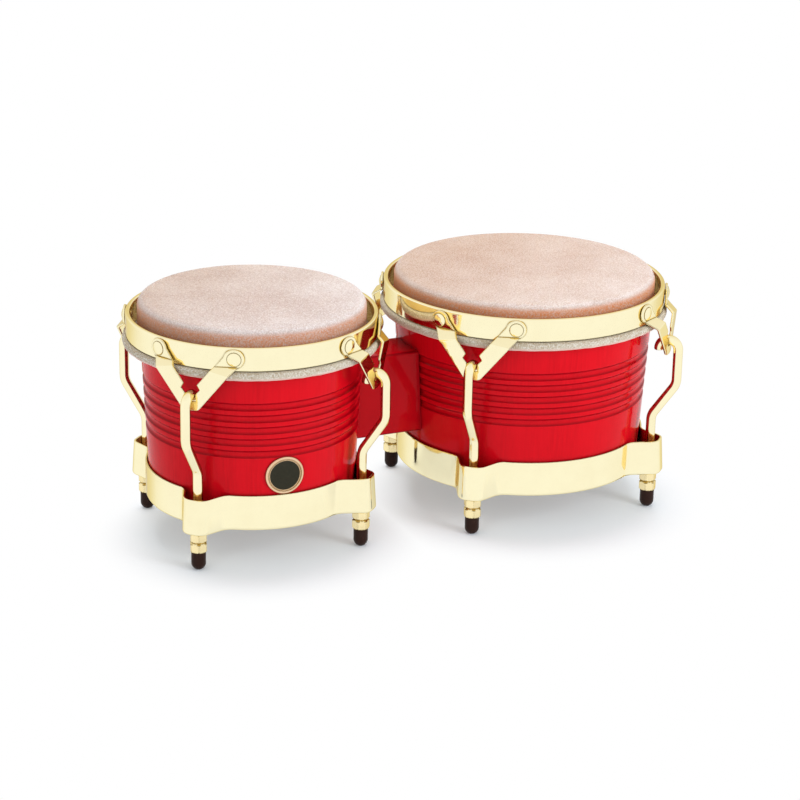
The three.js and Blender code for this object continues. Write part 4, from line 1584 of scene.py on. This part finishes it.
def set_camera(context, studio):
    """Stands the camera where the picture was taken from."""
    turn, rise, roll = studio.azimuth, studio.elevation, studio.roll
    back = Vector((math.sin(turn) * math.cos(rise), -math.cos(turn) * math.cos(rise), math.sin(rise)))
    right = back.cross(Vector((0, 0, -1))).normalized()
    up = back.cross(right)
    level_right = right
    right = level_right * math.cos(roll) + up * math.sin(roll)
    up = up * math.cos(roll) - level_right * math.sin(roll)
    target = Vector((148.7 * MM + BONGOS["small"].x, 120 * MM, 80 * MM))
    data = bpy.data.cameras.new("studio_camera")
    data.lens = studio.focal
    data.sensor_width = 36
    data.shift_x = 0.04825
    data.shift_y = -0.04025
    data.clip_start = 0.05
    data.clip_end = 50
    camera = bpy.data.objects.new("studio_camera", data)
    place = target + back * studio.distance
    camera.matrix_world = Matrix((
        (right.x, up.x, back.x, place.x),
        (right.y, up.y, back.y, place.y),
        (right.z, up.z, back.z, place.z),
        (0, 0, 0, 1),
    ))
    context.scene.collection.objects.link(camera)
    context.scene.camera = camera


def seen_rays(tree):
    """One for what the camera sees, also in polished or clear surfaces, and nothing for light."""
    path = node(tree, "LightPath")
    seen = math_node(tree, "MAXIMUM", path.outputs["Is Camera Ray"], path.outputs["Is Glossy Ray"])
    return math_node(tree, "MAXIMUM", seen, path.outputs["Is Transmission Ray"])


def set_floor(context):
    """A pale floor that keeps the soft shadow and fades into the white surround; round each drum and by its
    feet a painted shadow holds back the floor's white glow.
    """
    size = 3.0
    mesh = bpy.data.meshes.new("pale_floor")
    corners = [(-size, -size, 0), (size, -size, 0), (size, size, 0), (-size, size, 0)]
    mesh.from_pydata(corners, [], [(0, 1, 2, 3)])
    floor = bpy.data.objects.new("pale_floor", mesh)
    context.scene.collection.objects.link(floor)
    material = bpy.data.materials.new("pale_floor")
    material.use_nodes = True
    tree = material.node_tree
    tree.nodes.clear()
    place = object_place(tree)
    # Painted shadow: round each drum's rim, shifted 20 mm to the front, the floor's white glow is held back,
    # so there the real shadow shows and the lit floor greys a little.
    past_rims = []
    for drum in BONGOS.values():
        out = vector_node(tree, "DISTANCE", place, (drum.x, -20 * MM, 0)).outputs["Value"]
        past_rims.append(math_node(tree, "SUBTRACT", out, drum.rim_outer))
    reach = math_node(tree, "MINIMUM", *past_rims)
    away = {"Value": reach, "From Min": -25 * MM, "From Max": 39 * MM, "To Min": 0.33}
    amount = node(tree, "MapRange", away, interpolation_type="SMOOTHSTEP").outputs[0]
    # The floor's own blue-white tint shows only where the glow is held back, so the shadow there reads cool.
    matte = node(tree, "BsdfDiffuse", {"Color": (0.83, 0.90, 0.98, 1)}).outputs[0]
    white = node(tree, "Emission", {"Color": (1, 1, 1, 1), "Strength": 1.0}).outputs[0]
    # Painted reflection: seen in a reflection, the floor glows at least three quarters white.
    amount = math_node(tree, "MAXIMUM", amount, times(tree, glossy_ray(tree), 0.75))
    # Painted contact shadow: the glow is held back further where the floor is close to the feet and bands,
    # found by occlusion.
    amount = times(tree, amount, ramp(tree, openness(tree, 14 * MM), [(0.35, 0.3), (0.95, 1.0)]))
    shown = times(tree, amount, seen_rays(tree))
    blend = node(tree, "MixShader", {0: shown, 1: matte, 2: white}).outputs[0]
    node(tree, "OutputMaterial", {"Surface": blend})
    mesh.materials.append(material)


def set_world(context, studio):
    """White to the camera and to reflections, and an even fill elsewhere."""
    world = bpy.data.worlds.new("white_surround")
    context.scene.world = world
    world.use_nodes = True
    tree = world.node_tree
    tree.nodes.clear()
    seen = seen_rays(tree)
    fill = node(tree, "Background", {"Color": (1, 1, 1, 1), "Strength": studio.fill}).outputs[0]
    white = node(tree, "Background", {"Color": (1, 1, 1, 1), "Strength": 1.0}).outputs[0]
    blend = node(tree, "MixShader", {0: seen, 1: fill, 2: white}).outputs[0]
    node(tree, "OutputWorld", {"Surface": blend})


def set_lights(context, studio):
    """A large softbox above and behind, and a tall one at each side in front."""
    lights = [
        ("overhead_softbox", (0.15, 0.45, 1.5), (1.3, 1.0), studio.key),
        ("left_softbox", (-1.4, -1.0, 0.6), (0.7, 1.1), studio.side * 0.4),
        ("right_softbox", (0.9, -1.5, 0.8), (0.7, 1.1), studio.side * 1.6),
    ]
    for name, place, size, power in lights:
        data = bpy.data.lights.new(name, "AREA")
        data.shape = "RECTANGLE"
        data.size, data.size_y = size
        data.energy = power
        light = bpy.data.objects.new(name, data)
        light.location = place
        light.visible_glossy = False
        light.rotation_euler = (Vector((0, 0, 0.1)) - Vector(place)).to_track_quat("-Z", "Y").to_euler()
        context.scene.collection.objects.link(light)


PIECES = (
    BONGOS_OT_shells,
    BONGOS_OT_heads,
    BONGOS_OT_hoops,
    BONGOS_OT_rims,
    BONGOS_OT_links,
    BONGOS_OT_rods,
    BONGOS_OT_nuts,
    BONGOS_OT_bands,
    BONGOS_OT_block,
    BONGOS_OT_medal,
    BONGOS_OT_stage,
)
SETTINGS = {
    "bongo_wood": BongoWoodSizes,
    "bongo_hide": BongoHideSizes,
    "bongo_hardware": BongoHardwareSizes,
    "bongo_finishes": BongoFinishes,
    "bongo_studio": BongoStudio,
}


class BONGOS_PT_panel(bpy.types.Panel):
    """Sizes, finishes and pieces of the bongo drums"""

    bl_idname = "BONGOS_PT_panel"
    bl_label = "Bongo drums"
    bl_space_type = "VIEW_3D"
    bl_region_type = "UI"
    bl_category = "Bongos"

    def draw(self, context):
        layout = self.layout
        for name, group in SETTINGS.items():
            box = layout.box()
            box.label(text=group.__doc__)
            settings = getattr(context.scene, name)
            for key in group.__annotations__:
                box.prop(settings, key)
        for operator in PIECES:
            layout.operator(operator.bl_idname)


def register():
    """Registers the settings, the operators and the panel."""
    for name, group in SETTINGS.items():
        bpy.utils.register_class(group)
        setattr(bpy.types.Scene, name, bpy.props.PointerProperty(type=group))
    for operator in PIECES:
        bpy.utils.register_class(operator)
    bpy.utils.register_class(BONGOS_PT_panel)


def unregister():
    """Takes all of it away again."""
    bpy.utils.unregister_class(BONGOS_PT_panel)
    for operator in reversed(PIECES):
        bpy.utils.unregister_class(operator)
    for name, group in SETTINGS.items():
        delattr(bpy.types.Scene, name)
        bpy.utils.unregister_class(group)


def main():
    """Builds every piece and the stage."""
    register()
    bpy.ops.bongos.stage()
    bpy.ops.bongos.shells()
    bpy.ops.bongos.heads()
    bpy.ops.bongos.hoops()
    bpy.ops.bongos.rims()
    bpy.ops.bongos.links()
    bpy.ops.bongos.rods()
    bpy.ops.bongos.nuts()
    bpy.ops.bongos.bands()
    bpy.ops.bongos.block()
    bpy.ops.bongos.medal()


if __name__ == "__main__":
    main()
